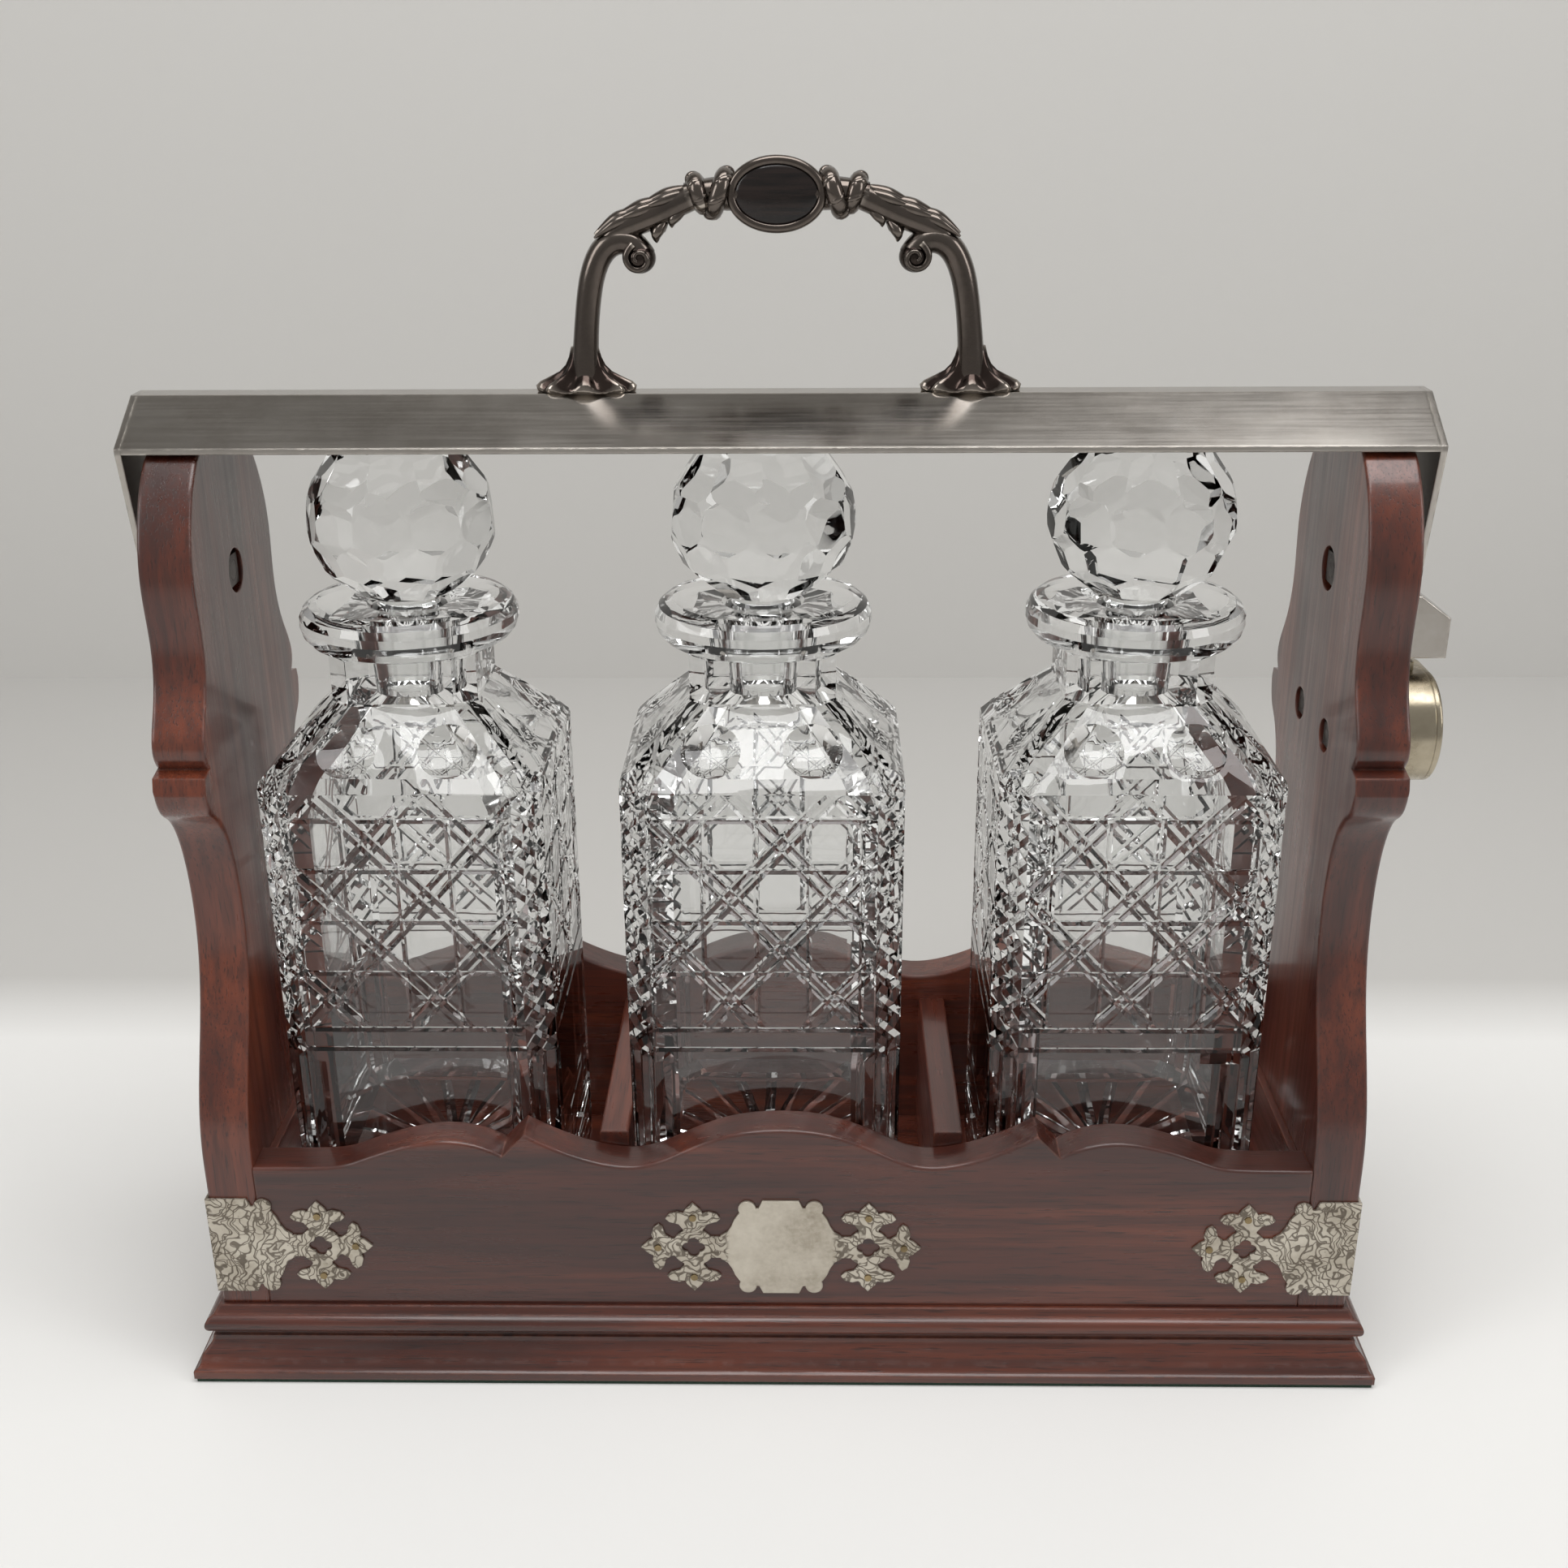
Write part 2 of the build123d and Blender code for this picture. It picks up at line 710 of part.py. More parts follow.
def make_bar_channel():
    inside_edge = bar_half_depth - bar_plate
    inside_fall = bar_slope * (inside_edge - ridge_half_width) + bar_plate * slope_stretch
    inside_ridge = ridge_half_width - bar_plate * (slope_stretch - 1) / bar_slope
    with BuildPart() as channel:
        with BuildSketch(Plane.YZ.offset(-plate_inner_x)):
            with BuildLine():
                Polyline(
                    *bar_roof_points(),
                    (inside_edge, bar_edge_z),
                    (inside_edge, ridge_z - inside_fall),
                    (inside_ridge, ridge_z - bar_plate),
                    (0, ridge_z - bar_plate),
                )
                mirror(about=Plane.YZ)
            make_face()
        extrude(amount=2 * plate_inner_x)
        with BuildSketch(Plane.XY.offset(ridge_z)):
            with Locations((-handle_foot_x, 0), (handle_foot_x, 0)):
                Circle(stud_radius + running_clearance)
        extrude(amount=-2 * bar_plate, mode=Mode.SUBTRACT)
    finish(channel, "bar_channel")


def catch_outline(top_drop):
    """The catch's outline seen from the end, down to a foot struck from the pivot."""
    with Locations((0, pivot_z)):
        Circle(catch_radius)
    with Locations((0, (pivot_z - top_drop + pivot_z - catch_radius - 1) / 2)):
        Rectangle(catch_width, catch_radius + 1 - top_drop, mode=Mode.INTERSECT)


def make_bar_side(name, side):
    """An end plate of the bar, hung on its pivot bolt; the right-hand one has a tail for the catch."""
    with BuildPart() as plate:
        with BuildSketch(Plane.YZ.offset(side * plate_inner_x)):
            with BuildLine():
                Polyline(*bar_roof_points(), (side_plate_end_radius, pivot_z))
                CenterArc((0, pivot_z), side_plate_end_radius, 0, -90)
                mirror(about=Plane.YZ)
            make_face()
        extrude(amount=side * bar_plate)
        if side > 0:
            with BuildSketch(Plane.YZ.offset(plate_inner_x)):
                catch_outline(0)
            extrude(amount=bar_plate)
        with BuildSketch(Plane.YZ.offset(side * plate_inner_x)):
            with Locations((0, pivot_z)):
                Circle(pivot_radius + running_clearance)
        extrude(amount=side * bar_plate, mode=Mode.SUBTRACT)
    finish(plate, name)


def make_catch():
    top_drop = catch_radius - catch_height
    socket_x = bolt_x + lock_bolt_thickness / 2
    with BuildPart() as catch:
        with BuildSketch(Plane.YZ.offset(plate_outer_x)):
            catch_outline(top_drop)
        extrude(amount=catch_projection)
        slope_top = Vector(plate_outer_x + catch_projection - catch_slope_run, 0, pivot_z - top_drop)
        facing = Vector(catch_slope, 0, catch_slope_run)
        split(bisect_by=Plane(origin=slope_top, z_dir=facing), keep=Keep.BOTTOM)
        with Locations((socket_x, 0, catch_foot_z)):
            Box(
                lock_bolt_thickness + 2 * socket_clearance,
                lock_bolt_width + 2 * socket_clearance,
                2 * socket_depth,
                mode=Mode.SUBTRACT,
            )
    finish(catch, "catch_lug")


# ---- Pivots -------------------------------------------------------------------------------


def make_pivots():
    """Bolt, spacer and nut at each end: the bolts stay with the panels and the bar turns on them."""
    head_x = plate_outer_x + end_play
    nut_face = inner_x + nut_setback
    with BuildPart() as bolts:
        for side in (-1, 1):
            with BuildSketch(Plane(origin=(side * nut_face, 0, pivot_z), x_dir=(0, 1, 0), z_dir=(side, 0, 0))):
                Circle(pivot_radius)
            extrude(amount=head_x - nut_face + pivot_head_height / 2)
            with BuildSketch(Plane(origin=(side * head_x, 0, pivot_z), x_dir=(0, 1, 0), z_dir=(side, 0, 0))):
                Circle(pivot_head_radius)
            extrude(amount=pivot_head_height, taper=20)
    finish(bolts, "pivot_bolts")
    with BuildPart() as spacers:
        for side in (-1, 1):
            with BuildSketch(Plane(origin=(side * half_length, 0, pivot_z), x_dir=(0, 1, 0), z_dir=(side, 0, 0))):
                Circle(spacer_radius)
                Circle(pivot_radius + running_clearance, mode=Mode.SUBTRACT)
            extrude(amount=plate_gap - end_play)
    finish(spacers, "pivot_spacers")
    with BuildPart() as nuts:
        for side in (-1, 1):
            with BuildSketch(Plane(origin=(side * nut_face, 0, pivot_z), x_dir=(0, 1, 0), z_dir=(side, 0, 0))):
                Rectangle(pivot_nut_width, pivot_nut_width)
                Circle(pivot_radius + running_clearance, mode=Mode.SUBTRACT)
            extrude(amount=pivot_nut_thickness)
    finish(nuts, "pivot_nuts")


# ---- Lock ---------------------------------------------------------------------------------


def case_outline(inset):
    with Locations((0, lock_z)):
        SlotOverall(2 * (case_half_width - inset), 2 * (case_half_height - inset))


def make_lock_case():
    with BuildPart() as case:
        with BuildSketch(Plane.YZ.offset(half_length)):
            case_outline(0)
        extrude(amount=case_depth)
        with BuildSketch(Plane.YZ.offset(half_length + case_wall)):
            case_outline(case_wall)
        extrude(amount=case_depth, mode=Mode.SUBTRACT)
        with BuildSketch(Plane.YZ.offset(half_length)):
            with Locations((-lock_screw_spacing / 2, lock_z), (lock_screw_spacing / 2, lock_z)):
                Circle(lock_screw_radius + running_clearance)
        extrude(amount=case_wall, mode=Mode.SUBTRACT)
        with Locations((bolt_x + lock_bolt_thickness / 2, 0, lock_z + case_half_height)):
            Box(
                lock_bolt_thickness + 2 * lock_bolt_clearance,
                lock_bolt_width + 2 * lock_bolt_clearance,
                4 * case_wall,
                mode=Mode.SUBTRACT,
            )
    finish(case, "lock_case")


def make_lock_cover():
    with BuildPart() as cover:
        with BuildSketch(Plane.YZ.offset(cover_x)):
            case_outline(0)
        extrude(amount=cover_thickness)
        fillet(cover.faces().sort_by(Axis.X)[-1].edges(), arris)
        with BuildSketch(Plane.YZ.offset(cover_x)):
            case_outline(case_wall + running_clearance)
        extrude(amount=-cover_lap)
        with BuildSketch(Plane.YZ.offset(cover_x - cover_lap)):
            with Locations((0, lock_z)):
                Circle(plug_radius + running_clearance)
        extrude(amount=cover_thickness + cover_lap, mode=Mode.SUBTRACT)
    finish(cover, "lock_cover")


def make_lock_plug():
    """Key plug, its flange behind the cover and the drive pin that lifts the bolt."""
    flange_x = cover_x - cover_lap - end_play
    flange_foot = flange_x - plug_flange_thickness
    face_x = cover_x + cover_thickness + plug_nose
    pin_y = throw * cos(radians(drive_angle))
    pin_z = lock_z - throw * sin(radians(drive_angle))
    with BuildPart() as plug:
        with BuildSketch(Plane.YZ.offset(flange_foot)):
            with Locations((0, lock_z)):
                Circle(plug_radius)
        extrude(amount=face_x - flange_foot)
        with BuildSketch(Plane.YZ.offset(flange_foot)):
            with Locations((0, lock_z)):
                Circle(plug_flange_radius)
        extrude(amount=plug_flange_thickness)
        with BuildSketch(Plane.YZ.offset(flange_foot)):
            with Locations((pin_y, pin_z)):
                Circle(drive_pin_radius)
        extrude(amount=-(flange_foot - bolt_x - end_play))
        with BuildSketch(Plane.YZ.offset(face_x)):
            with Locations((0, lock_z)):
                Rectangle(key_slot_width, key_slot_height)
        extrude(amount=-key_slot_depth, mode=Mode.SUBTRACT)
    finish(plug, "lock_plug")


def make_lock_bolt():
    """Upright bolt with a wide foot, slotted for the plug's drive pin."""
    pin_z = lock_z - throw * sin(radians(drive_angle))
    slot_near = throw * cos(radians(drive_angle)) - drive_pin_radius - drive_clearance
    slot_far = throw + drive_pin_radius + drive_clearance
    foot_low = pin_z - lock_bolt_foot_height / 2
    with BuildPart() as bolt:
        with BuildSketch(Plane.YZ.offset(bolt_x)):
            with Locations((0, pin_z)):
                Rectangle(lock_bolt_foot_width, lock_bolt_foot_height)
            with Locations((0, (foot_low + bolt_top_z) / 2)):
                Rectangle(lock_bolt_width, bolt_top_z - foot_low)
            with Locations(((slot_near + slot_far) / 2, pin_z)):
                Rectangle(
                    slot_far - slot_near,
                    2 * (drive_pin_radius + drive_clearance),
                    mode=Mode.SUBTRACT,
                )
        extrude(amount=lock_bolt_thickness)
    finish(bolt, "lock_bolt")


def make_lock_fasteners():
    head_x = half_length + case_wall
    nut_face = inner_x + nut_setback
    rows = ((-lock_screw_spacing / 2, lock_z), (lock_screw_spacing / 2, lock_z))
    with BuildPart() as screws:
        with BuildSketch(Plane.YZ.offset(nut_face)):
            with Locations(*rows):
                Circle(lock_screw_radius)
        extrude(amount=head_x - nut_face)
        with BuildSketch(Plane.YZ.offset(head_x)):
            with Locations(*rows):
                Circle(lock_screw_head_radius)
        extrude(amount=lock_screw_head_height)
    finish(screws, "lock_screws")
    with BuildPart() as nuts:
        with BuildSketch(Plane.YZ.offset(nut_face)):
            with Locations(*rows):
                Rectangle(lock_nut_width, lock_nut_width)
                Circle(lock_screw_radius + running_clearance, mode=Mode.SUBTRACT)
        extrude(amount=lock_nut_thickness)
    finish(nuts, "lock_nuts")


# ---- Handle -------------------------------------------------------------------------------

knob_z = ridge_z + knob_height


def make_handle():
    """Cast handle on the ridge: two leaf feet, bowed stems, scrolls, collars and an oval knob."""
    foot_top = ridge_z + handle_foot_height
    with BuildPart() as handle:
        for side in (-1, 1):
            foot = Vector(side * handle_foot_x, 0, ridge_z)
            with BuildSketch(Plane(origin=foot)):
                Ellipse(handle_foot_length / 2, ridge_half_width)
            with BuildSketch(Plane(origin=foot + Vector(0, 0, handle_foot_height / 3))):
                Ellipse(stem_radius * 1.9, ridge_half_width * 0.9)
            with BuildSketch(Plane(origin=foot + Vector(0, 0, handle_foot_height))):
                Circle(foot_neck_radius)
            loft()
            with BuildSketch(Plane(origin=foot)):
                Circle(stud_radius)
            extrude(amount=-stud_length)
            collar_x = collars[-1][0]
            with BuildLine() as route:
                Spline(
                    (foot.X, 0, foot_top - stem_root),
                    *[(side * out, 0, ridge_z + rise) for out, rise in stem_route],
                    (side * collar_x, 0, knob_z),
                    tangents=[(-side * 0.1, 0, 1), (-side, 0, 0.3)],
                )
            with BuildSketch(Plane(origin=foot + Vector(0, 0, handle_foot_height - stem_root))):
                Circle(stem_radius)
            sweep(path=route.wire())
            across = Plane(origin=(side * scroll_x, 0, knob_z - scroll_drop), z_dir=(0, -1, 0))
            with BuildSketch(across):
                Circle(scroll_radius)
            extrude(amount=stem_radius, both=True)
            leaf_plane = Plane(origin=(side * leaf_centre[0], 0, knob_z - leaf_centre[1]), z_dir=(0, -1, 0))
            with BuildSketch(leaf_plane):
                Ellipse(leaf_size[0], leaf_size[2], rotation=-side * leaf_tilt)
            extrude(amount=leaf_size[1], both=True)
            for out, radius, length in collars:
                with BuildSketch(Plane.YZ.offset(side * out)):
                    with Locations((0, knob_z)):
                        Circle(radius)
                extrude(amount=length / 2, both=True)
            with BuildSketch(Plane.YZ.offset(side * collar_x)):
                with Locations((0, knob_z)):
                    Circle(stem_radius * 1.3)
            extrude(amount=-side * collar_x / 2)
        with BuildSketch(Plane(origin=(0, 0, knob_z), x_dir=(1, 0, 0), z_dir=(0, -1, 0))):
            Ellipse(knob_width / 2, knob_tall / 2)
        extrude(amount=knob_depth / 2, both=True)
        face = Plane(origin=(0, -knob_depth / 2, knob_z), x_dir=(1, 0, 0), z_dir=(0, -1, 0))
        with BuildSketch(face):
            Ellipse(inset_width / 2 + inset_clearance, inset_tall / 2 + inset_clearance)
        extrude(amount=-inset_depth, mode=Mode.SUBTRACT)
    finish(handle, "handle")
    with BuildPart() as inset:
        with BuildSketch(face.offset(-inset_depth)):
            Ellipse(inset_width / 2, inset_tall / 2)
        extrude(amount=inset_depth)
    finish(inset, "handle_inset")
    with BuildPart() as nuts:
        with BuildSketch(Plane.XY.offset(ridge_z - bar_plate)):
            with Locations((-handle_foot_x, 0), (handle_foot_x, 0)):
                Rectangle(handle_nut_width, handle_nut_width)
                Circle(stud_radius + running_clearance, mode=Mode.SUBTRACT)
        extrude(amount=-handle_nut_thickness)
    finish(nuts, "handle_nuts")


# ---- Build everything ---------------------------------------------------------------------

make_base_board()
make_plinth_moulding("plinth_front", (0, -1, 0), half_depth, half_length)
make_plinth_moulding("plinth_back", (0, 1, 0), half_depth, half_length)
make_plinth_moulding("plinth_left", (-1, 0, 0), half_length, half_depth)
make_plinth_moulding("plinth_right", (1, 0, 0), half_length, half_depth)
make_base_underlay()
make_board("front_board", Plane.XZ.offset(half_depth), -1, 0, front_pins)
make_board("back_board", Plane.XZ.offset(-half_depth), 1, back_board_rise, [])
make_panel("side_panel_left", -1)
make_panel("side_panel_right", 1)
make_tray()
make_cartouche()
make_corner_mount("corner_mount_left", -1)
make_corner_mount("corner_mount_right", 1)
make_mount_pins()
for place, x in decanter_x.items():
    make_decanter(f"decanter_{place}", x)
    make_stopper(f"stopper_{place}", x)
make_bar_channel()
make_bar_side("bar_side_left", -1)
make_bar_side("bar_side_right", 1)
make_catch()
make_pivots()
make_lock_case()
make_lock_cover()
make_lock_plug()
make_lock_bolt()
make_lock_fasteners()
make_handle()
print(f"pivot {pivot_z:.2f}, bar edge {bar_edge_z:.2f}, ridge {ridge_z:.2f}, ball top {ball_top:.2f}")
print("decanters at", {place: round(x, 2) for place, x in decanter_x.items()})
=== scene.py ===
import random
from math import atan2, cos, degrees, hypot, pi, radians, sin, sqrt

import bmesh
import bpy
from mathutils import Matrix, Vector


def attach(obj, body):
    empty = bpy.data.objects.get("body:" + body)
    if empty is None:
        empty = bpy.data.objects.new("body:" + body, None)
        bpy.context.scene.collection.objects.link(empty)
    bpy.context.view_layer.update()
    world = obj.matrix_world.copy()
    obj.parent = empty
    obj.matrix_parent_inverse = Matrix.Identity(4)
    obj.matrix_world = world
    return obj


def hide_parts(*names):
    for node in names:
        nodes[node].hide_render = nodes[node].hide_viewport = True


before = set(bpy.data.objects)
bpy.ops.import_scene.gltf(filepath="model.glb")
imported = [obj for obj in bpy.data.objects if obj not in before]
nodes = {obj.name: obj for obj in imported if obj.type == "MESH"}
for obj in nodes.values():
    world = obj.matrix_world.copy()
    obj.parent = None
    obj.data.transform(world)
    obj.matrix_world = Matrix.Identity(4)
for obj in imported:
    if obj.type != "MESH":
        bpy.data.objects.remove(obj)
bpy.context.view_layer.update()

scene = bpy.context.scene
MM = 0.001

# ---- Table and light ------------------------------------------------------------------------
# The tantalus stands on a plain pale table in front of a plain pale wall, under wide soft
# lamps. The room on the camera's side is darker, so that plate and glass have something to show.

scene.view_settings.view_transform = "Standard"


def new_material(name):
    """A named material with its node tree and its one Principled shader."""
    material = bpy.data.materials.new(name)
    material.use_nodes = True
    return material, material.node_tree, material.node_tree.nodes["Principled BSDF"]


def stage_plane(name, half_size, matrix, colour):
    plane = bmesh.new()
    bmesh.ops.create_grid(plane, x_segments=1, y_segments=1, size=half_size, matrix=matrix)
    mesh = bpy.data.meshes.new(name)
    plane.to_mesh(mesh)
    plane.free()
    piece = bpy.data.objects.new(name, mesh)
    scene.collection.objects.link(piece)
    paint, tree, shader = new_material(name + "_paint")
    shader.inputs["Base Color"].default_value = colour
    shader.inputs["Roughness"].default_value = 0.9
    mesh.materials.append(paint)
    return tree, shader


table_white, wall_grey = (0.76, 0.755, 0.74, 1.0), (0.56, 0.55, 0.53, 1.0)
floor_tree, floor_shader = stage_plane("floor", 4.0, Matrix.Identity(4), table_white)
floor_place = floor_tree.nodes.new("ShaderNodeTexCoord")
floor_split = floor_tree.nodes.new("ShaderNodeSeparateXYZ")
floor_tree.links.new(floor_place.outputs["Object"], floor_split.inputs[0])
floor_ramp = floor_tree.nodes.new("ShaderNodeMapRange")
floor_tree.links.new(floor_split.outputs["Y"], floor_ramp.inputs["Value"])
floor_ramp.inputs["From Min"].default_value = 0.150
floor_ramp.inputs["From Max"].default_value = 0.205
floor_mix = floor_tree.nodes.new("ShaderNodeMix")
floor_mix.data_type = "RGBA"
floor_tree.links.new(floor_ramp.outputs["Result"], floor_mix.inputs[0])
floor_mix.inputs[6].default_value = table_white
floor_mix.inputs[7].default_value = (0.50, 0.49, 0.472, 1.0)
floor_tree.links.new(floor_mix.outputs[2], floor_shader.inputs["Base Color"])
wall_place = Matrix.Translation((0, 0.62, 0)) @ Matrix.Rotation(radians(90), 4, "X")
stage_plane("wall", 4.0, wall_place, wall_grey)

world = bpy.data.worlds.new("studio")
scene.world = world
world.use_nodes = True
world.node_tree.nodes["Background"].inputs["Color"].default_value = (0.80, 0.79, 0.77, 1.0)
world.node_tree.nodes["Background"].inputs["Strength"].default_value = 0.5


def soft_lamp(name, place, aim, size, watts):
    lamp = bpy.data.lights.new(name, "AREA")
    lamp.shape = "RECTANGLE"
    lamp.size, lamp.size_y = size
    lamp.energy = watts
    piece = bpy.data.objects.new(name, lamp)
    scene.collection.objects.link(piece)
    piece.location = place
    piece.rotation_euler = (Vector(aim) - Vector(place)).to_track_quat("-Z", "Y").to_euler()
    return piece


soft_lamp("overhead_lamp", (0.1, -0.25, 1.5), (0, 0.1, 0.15), (1.2, 0.8), 15)
soft_lamp("left_lamp", (-1.2, -0.7, 0.9), (0, 0, 0.18), (0.5, 0.9), 6)
soft_lamp("right_lamp", (1.2, -0.5, 0.8), (0, 0, 0.18), (0.4, 0.8), 4)

# ---- Camera ---------------------------------------------------------------------------------
# A phone held at arm's length in front of the tantalus and a little above it.

camera_data = bpy.data.cameras.new("camera")
camera_data.lens = 41.522
camera_data.sensor_width = 36.0
camera = bpy.data.objects.new("camera", camera_data)
scene.collection.objects.link(camera)
camera.location = (0.00972, -0.5170, 0.39094)
camera.rotation_euler = (radians(67.667), radians(0.3344), radians(0.8352))
scene.camera = camera

# ---- Mahogany carrier -----------------------------------------------------------------------
# Boards, end panels, base mouldings, tray and dividers are solid mahogany, cut to shape, glued
# and French polished to a dark red-brown. The arrises are painted lighter: partly rubbed where hands
# touch them, partly a painted highlight.


def add_node(tree, kind, settings=None, **inputs):
    """A node with its settings; an input that is given a socket is linked to it, others are set."""
    made = tree.nodes.new("ShaderNode" + kind)
    for key, value in (settings or {}).items():
        setattr(made, key, value)
    for name, value in inputs.items():
        socket = made.inputs[name.replace("_", " ")]
        if isinstance(value, bpy.types.NodeSocket):
            tree.links.new(value, socket)
        else:
            socket.default_value = value
    return made


def calculate(tree, operation, *values):
    made = tree.nodes.new("ShaderNodeMath")
    made.operation = operation
    for socket, value in zip(made.inputs, values):
        if isinstance(value, bpy.types.NodeSocket):
            tree.links.new(value, socket)
        else:
            socket.default_value = value
    return made.outputs[0]


def remap(tree, value, low, high, to_low=0.0, to_high=1.0):
    made = tree.nodes.new("ShaderNodeMapRange")
    tree.links.new(value, made.inputs[0])
    for socket, number in zip(made.inputs[1:5], (low, high, to_low, to_high)):
        socket.default_value = number
    return made.outputs[0]


def mix_colours(tree, factor, first, second, blend="MIX"):
    made = tree.nodes.new("ShaderNodeMix")
    made.data_type = "RGBA"
    made.blend_type = blend
    for socket, value in zip((made.inputs[0], made.inputs[6], made.inputs[7]), (factor, first, second)):
        if isinstance(value, bpy.types.NodeSocket):
            tree.links.new(value, socket)
        else:
            socket.default_value = value
    return made.outputs[2]


def colour_ramp(tree, value, stops):
    made = tree.nodes.new("ShaderNodeValToRGB")
    tree.links.new(value, made.inputs[0])
    elements = made.color_ramp.elements
    while len(elements) < len(stops):
        elements.new(0.5)
    for element, (position, colour) in zip(elements, stops):
        element.position = position
        element.color = (*colour, 1.0)
    return made.outputs[0]


def new_group(name, inputs, outputs):
    """A node group with its input and output nodes; sockets are given as name: kind."""
    group = bpy.data.node_groups.new(name, "ShaderNodeTree")
    for socket, kind in inputs.items():
        group.interface.new_socket(name=socket, in_out="INPUT", socket_type="NodeSocket" + kind)
    for socket, kind in outputs.items():
        group.interface.new_socket(name=socket, in_out="OUTPUT", socket_type="NodeSocket" + kind)
    return group, group.nodes.new("NodeGroupInput"), group.nodes.new("NodeGroupOutput")


def use_group(tree, group, **inputs):
    made = tree.nodes.new("ShaderNodeGroup")
    made.node_tree = group
    for name, value in inputs.items():
        if isinstance(value, bpy.types.NodeSocket):
            tree.links.new(value, made.inputs[name])
        else:
            made.inputs[name].default_value = value
    return made


# Mask of the arrises, from the bevelled normal broken up by noise. The materials paint it lighter: as wear on the nuts
# and lock, and as wear plus a painted highlight on the wood and the bar.
edge_wear_and_highlight, edge_group_in, edge_group_out = new_group("edge_wear_and_highlight", {"Radius": "Float"}, {"Mask": "Float", "Normal": "Vector"})
rounded = add_node(edge_wear_and_highlight, "Bevel", {"samples": 4}, Radius=edge_group_in.outputs["Radius"])
facing = add_node(edge_wear_and_highlight, "NewGeometry")
match = add_node(edge_wear_and_highlight, "VectorMath", {"operation": "DOT_PRODUCT"})
edge_wear_and_highlight.links.new(rounded.outputs[0], match.inputs[0])
edge_wear_and_highlight.links.new(facing.outputs["Normal"], match.inputs[1])
ragged = add_node(edge_wear_and_highlight, "TexNoise", Scale=260.0, Detail=4.0)
edge_wear_and_highlight.links.new(add_node(edge_wear_and_highlight, "TexCoord").outputs["Object"], ragged.inputs["Vector"])
edge = remap(edge_wear_and_highlight, match.outputs["Value"], 0.985, 0.86)
edge = calculate(edge_wear_and_highlight, "MULTIPLY", edge, remap(edge_wear_and_highlight, ragged.outputs[0], 0.38, 0.62))
edge_wear_and_highlight.links.new(edge, edge_group_out.inputs["Mask"])
edge_wear_and_highlight.links.new(rounded.outputs[0], edge_group_out.inputs["Normal"])

grain, grain_in, grain_out = new_group(
    "mahogany_grain", {"Along": "Vector"}, {"Color": "Color", "Roughness": "Float", "Height": "Float"}
)
band_space = add_node(grain, "Mapping", Vector=grain_in.outputs["Along"], Scale=(5.0, 42.0, 42.0))
bands = add_node(grain, "TexNoise", Vector=band_space.outputs[0], Scale=1.0, Detail=5.0, Distortion=0.9)
streak_space = add_node(grain, "Mapping", Vector=grain_in.outputs["Along"], Scale=(14.0, 420.0, 420.0))
streaks = add_node(grain, "TexNoise", Vector=streak_space.outputs[0], Scale=1.0, Detail=3.0, Roughness=0.65)
pore_space = add_node(grain, "Mapping", Vector=grain_in.outputs["Along"], Scale=(90.0, 1900.0, 1900.0))
pores = add_node(grain, "TexNoise", Vector=pore_space.outputs[0], Scale=1.0, Detail=1.0)
pore_mask = remap(grain, pores.outputs[0], 0.60, 0.70)
figure = colour_ramp(
    grain,
    bands.outputs[0],
    [(0.30, (0.034, 0.0080, 0.0052)), (0.50, (0.076, 0.0170, 0.0092)), (0.70, (0.145, 0.034, 0.0155))],
)
streaked = mix_colours(
    grain, remap(grain, streaks.outputs[0], 0.42, 0.66, 0.0, 0.55), figure, (0.022, 0.007, 0.005, 1.0)
)
pored = mix_colours(
    grain, calculate(grain, "MULTIPLY", pore_mask, 0.6), streaked, (0.012, 0.004, 0.003, 1.0)
)
grain.links.new(pored, grain_out.inputs["Color"])
grain.links.new(remap(grain, streaks.outputs[0], 0.3, 0.7, 0.24, 0.36), grain_out.inputs["Roughness"])
grain.links.new(calculate(grain, "SUBTRACT", 1.0, pore_mask), grain_out.inputs["Height"])


def mahogany(name, order):
    """Polished mahogany; order says which object axes run along, across and through the grain."""
    material, tree, shader = new_material(name)
    place = add_node(tree, "SeparateXYZ", Vector=add_node(tree, "TexCoord").outputs["Object"])
    along = add_node(tree, "CombineXYZ", X=place.outputs[order[0]], Y=place.outputs[order[1]], Z=place.outputs[order[2]])
    wood = use_group(tree, grain, Along=along.outputs[0])
    edge_mask = use_group(tree, edge_wear_and_highlight, Radius=0.0011)
    # The arrises are painted a lighter red: partly rubbed wear, partly a painted highlight.
    rubbed_and_highlit = mix_colours(
        tree, calculate(tree, "MULTIPLY", edge_mask.outputs["Mask"], 0.62), wood.outputs["Color"], (0.23, 0.062, 0.027, 1.0)
    )
    cloudy = add_node(tree, "TexNoise", Vector=along.outputs[0], Scale=28.0, Detail=5.0)
    polish = remap(tree, cloudy.outputs[0], 0.35, 0.7, -0.03, 0.10)
    tree.links.new(rubbed_and_highlit, shader.inputs["Base Color"])
    tree.links.new(calculate(tree, "ADD", wood.outputs["Roughness"], polish), shader.inputs["Roughness"])
    bump = add_node(tree, "Bump", Height=wood.outputs["Height"], Strength=0.18, Distance=0.0002, Normal=edge_mask.outputs["Normal"])
    tree.links.new(bump.outputs[0], shader.inputs["Normal"])
    shader.inputs["Coat Weight"].default_value = 0.45
    shader.inputs["Coat Roughness"].default_value = 0.12
    return material


